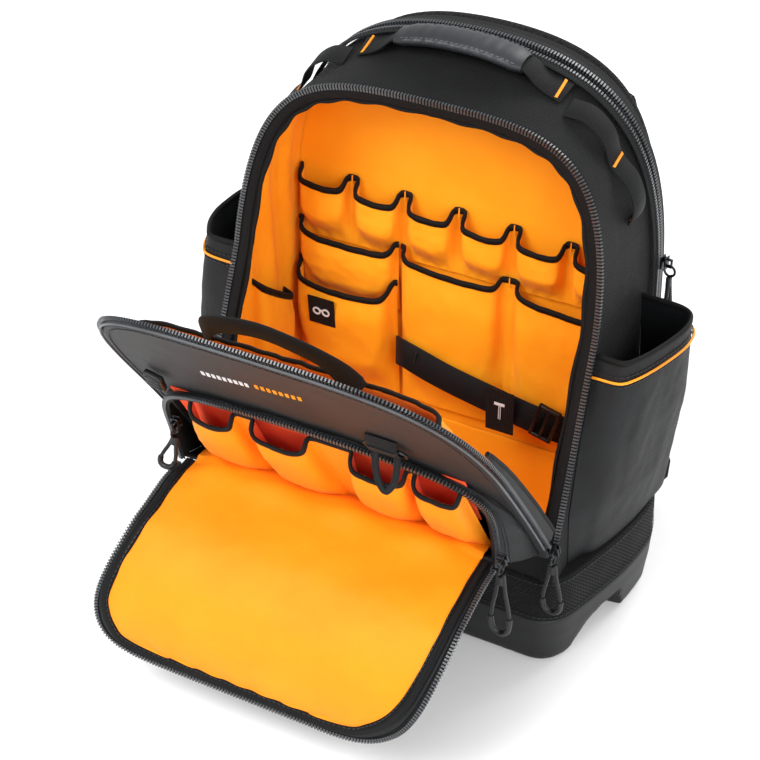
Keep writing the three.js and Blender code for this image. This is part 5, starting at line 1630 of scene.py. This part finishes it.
def makePull(name, hang, reach, spread):
    # A braided cord doubled into a loop, with a moulded end
    a = hang + Vector((0, 0, -(sliderSet["linkRadius"] + sliderSet["linkWire"] - 0.1)))
    b = a + reach
    rows = [(0, 0.27), (0.3, 0.5), (0.6, 0.9), (0.82, 1), (0.95, 0.7)]
    right = [a.lerp(b, k) + spread * w for k, w in rows]
    left = [a.lerp(b, k) - spread * w for k, w in reversed(rows)]
    line = smoothLine(right + [b] + left, 120)
    normal = reach.cross(spread).normalized()
    parts = [sweep("cord", line, [normal] * len(line), roundSection(sliderSet["cord"] * 0.86, 8), pullRubber)]
    # Ridges of the braid, then the thicker moulded end
    ridges = []
    marks = evenly(line, int(pathLengths(line)[-1] / 2.1))
    for p, run in zip(marks, tangents(marks)):
        side = run.cross(normal).normalized()
        for way in (-1, 1):
            ridges.append((p + normal * way * 1.25, side * 1.1 + run * (0.5 * way), run * 0.55, normal * 0.55,
                           0.8))
    parts.append(blocks("braid", ridges, pullRubber))
    start, end = int(len(line) * 0.34), int(len(line) * 0.66)
    parts.append(sweep("end", line[start:end], [normal] * (end - start), roundSection(2.5, 12), pullRubber))
    neck = a.lerp(b, 0.1)
    run = reach.normalized()
    side = spread.normalized()
    parts.append(sweep("neck", [neck + run * k for k in (-4, -3.2, 3.2, 4)], [side] * 4,
                       [(x * 1.9, y * 1.15) for x, y in roundSection(2.1, 14)], pullRubber))
    piece = joinPieces(parts, f"{name}Pull")
    settle(piece, "pull_cord", f"{name}_pull")


makeSlider("main_zip_right", (173.5, -138.1, 141), (0.35, 0, 0), (2.5, -2, -50), (8, 0, 0))
makeSlider("main_zip_left", (-173.5, -138.1, 141), (0.35, 0, 0), (-2.5, -2, -50), (8, 0, 0))
makeSlider("flap_zip_right", (155.9, -206, 177), (0.5, 0, 0), (3, -3, -60), (8, 0, 0))
makeSlider("flap_zip_left", (-141, -213, 212), (0.3, 0, 0), (-8, -6, -30), (7, 0, 0))
makeSlider("rear_zip", (176.2, 66, 306), (0, 0, 1.4), (2, 0, -48), (0, 7, 0))
print("pulls made")

ringSet = {"x": 78, "v": 205}


def makeRing():
    x0, v0 = ringSet["x"], ringSet["v"]
    out = doorSet["pad"] + 5
    corners = [(17.6, 0), (17.6, 3), (13.4, 6.7), (6, 6.7), (-6, 6.7), (-13.4, 6.7), (-17.6, 3), (-17.6, 0),
               (-17.6, -3), (-13.4, -6.7), (-6, -6.7), (6, -6.7), (13.4, -6.7), (17.6, -3)]
    line = [doorPlace(x0 + x, v0 + v, out) for x, v in corners]
    fine = evenly(line + line[:1], 57)[:-1]
    ring = sweep("webRing", fine, [doorOut(v0)] * 56, roundSection(1.25, 10), blackNickel, closed=True)
    settle(ring, "dark_metal", "web_ring")
    path = [(19, -3.4), (12, 1.4), (6, 2.7), (-1, 2.7)]
    path = [tuple(doorPlace(x0, v0 + v, out + o)) for v, o in path]
    line = makeTape("ringTab", path, (1, 0, 0), 27, 1.7, 24, "ring_tab")[0]
    bar = bartackPlaces(line[12] + doorOut(v0) * 1.0, Vector((1, 0, 0)), doorOut(v0), 24, 2.4)
    settle(blocks("ringTabBartack", bar, threadBlack), "black_webbing")
    top = doorPlace(x0, v0 - 5, out + 2.4)
    path = [(-9, 0, 0), (-9, -0.5, -12), (-6, -1, -27), (0, -1.5, -34), (6, -1, -27), (9, -0.5, -12),
            (9, 0, 0)]
    path = [tuple(top + Vector(p)) for p in path]
    makeTape("ringLoop", path, (0, -1, 0.1), 2, 5, 60, "ring_loop", loopTape)
    # Side buckle: a moulded body with three ribs and a rounded frame
    at = doorPlace(-131, 194, doorSet["pad"] + 6.7)
    turn = (0.5, 0.2, 0)
    parts = [addBox((17, 5.4, 22), at, turn, 1.4, buckleNylon)]
    for n in range(3):
        rib = addBox((14.4, 2.4, 2.4), (0, -2.8, (n - 1) * 6.4), (0, 0, 0), 0.8, buckleNylon)
        rib.rotation_euler = turn
        rib.location = at * mm
        pick(rib)
        bpy.ops.object.transform_apply(location=True, rotation=True, scale=True)
        parts.append(rib)
    buckle = joinPieces(parts, "sideBuckle")
    shade(buckle, 40)
    settle(buckle, "black_buckle", "side_buckle")
    # Slide on the strap across the divider
    turn = (0, 0.26, 0)
    parts = [addBox((3.4, 5, 36), (-9.3, 0, 0), (0, 0, 0), 1.2, buckleNylon),
             addBox((3.4, 5, 36), (9.3, 0, 0), (0, 0, 0), 1.2, buckleNylon),
             addBox((22, 5, 3.4), (0, 0, 16.3), (0, 0, 0), 1.2, buckleNylon),
             addBox((22, 5, 3.4), (0, 0, -16.3), (0, 0, 0), 1.2, buckleNylon),
             addBox((3.2, 3.6, 33), (0, -0.6, 0), (0, 0, 0), 1.0, buckleNylon)]
    slide = joinPieces(parts, "strapSlide")
    shade(slide, 40)
    slide.rotation_euler = turn
    slide.location = Vector((104, -1, 154)) * mm
    pick(slide)
    bpy.ops.object.transform_apply(location=True, rotation=True, scale=True)
    settle(slide, "black_buckle", "strap_slide")


makeRing()


def makeDoorHandle():
    path = [(-64, 262, 12), (-62, 276, 14), (-50, 300, 17), (-22, 315, 19), (0, 318, 20), (22, 315, 19),
            (50, 300, 17), (62, 276, 14), (64, 262, 12)]
    path = [tuple(doorPlace(x, v, -inside)) for x, v, inside in path]
    makeTape("doorHandle", path, (0, -0.25, 0.97), 17, 1.9, 80, "door_handle")


makeDoorHandle()
print("hardware made")


# Floor and light: each soft light has its place in metres, its size and its power
stageSet = {"floor": 12, "dark": "#F4F4F4", "light": "#FBFBFB", "world": 0.75, "aim": (0, -0.05, 0.22)}
lights = [("keyLight", (-0.9, -1.7, 2.2), 1.5, 62), ("fillLight", (1.7, -1.5, 1.5), 1.3, 36),
          ("rimLight", (0.6, 1.9, 1.9), 1.4, 34)]


def makeStage():
    bpy.ops.object.select_all(action="DESELECT")
    bpy.ops.mesh.primitive_plane_add(size=stageSet["floor"], location=(0, 0, -0.0002))
    floor = bpy.context.object
    floor.name = "studioFloor"
    bpy.ops.object.transform_apply(location=True, rotation=True, scale=True)
    material, tree = startMaterial("paintedFloor")
    place = addNode(tree, "ShaderNodeTexCoord").outputs["Object"]
    cloud = addNode(tree, "ShaderNodeTexNoise", {"Scale": 3, "Detail": 3}, {"Vector": place})
    tone = addNode(tree, "ShaderNodeMix",
                   {"data_type": "RGBA", 6: linear(stageSet["dark"]), 7: linear(stageSet["light"])},
                   {0: cloud.outputs["Fac"]})
    endMaterial(tree, {"Roughness": 0.9}, {"Base Color": tone.outputs[2]})
    floor.data.materials.append(material)
    world = bpy.data.worlds.new("studio")
    world.use_nodes = True
    world.node_tree.nodes["Background"].inputs[0].default_value = linear("#FFFFFF")
    world.node_tree.nodes["Background"].inputs[1].default_value = stageSet["world"]
    bpy.context.scene.world = world
    for name, place, size, power in lights:
        data = bpy.data.lights.new(name, "AREA")
        data.energy = power
        data.size = size
        light = bpy.data.objects.new(name, data)
        bpy.context.scene.collection.objects.link(light)
        light.location = place
        light.rotation_euler = (Vector(stageSet["aim"]) - Vector(place)).to_track_quat("-Z", "Y").to_euler()
    bpy.context.scene.view_settings.view_transform = "Standard"


makeStage()
print("stage made")
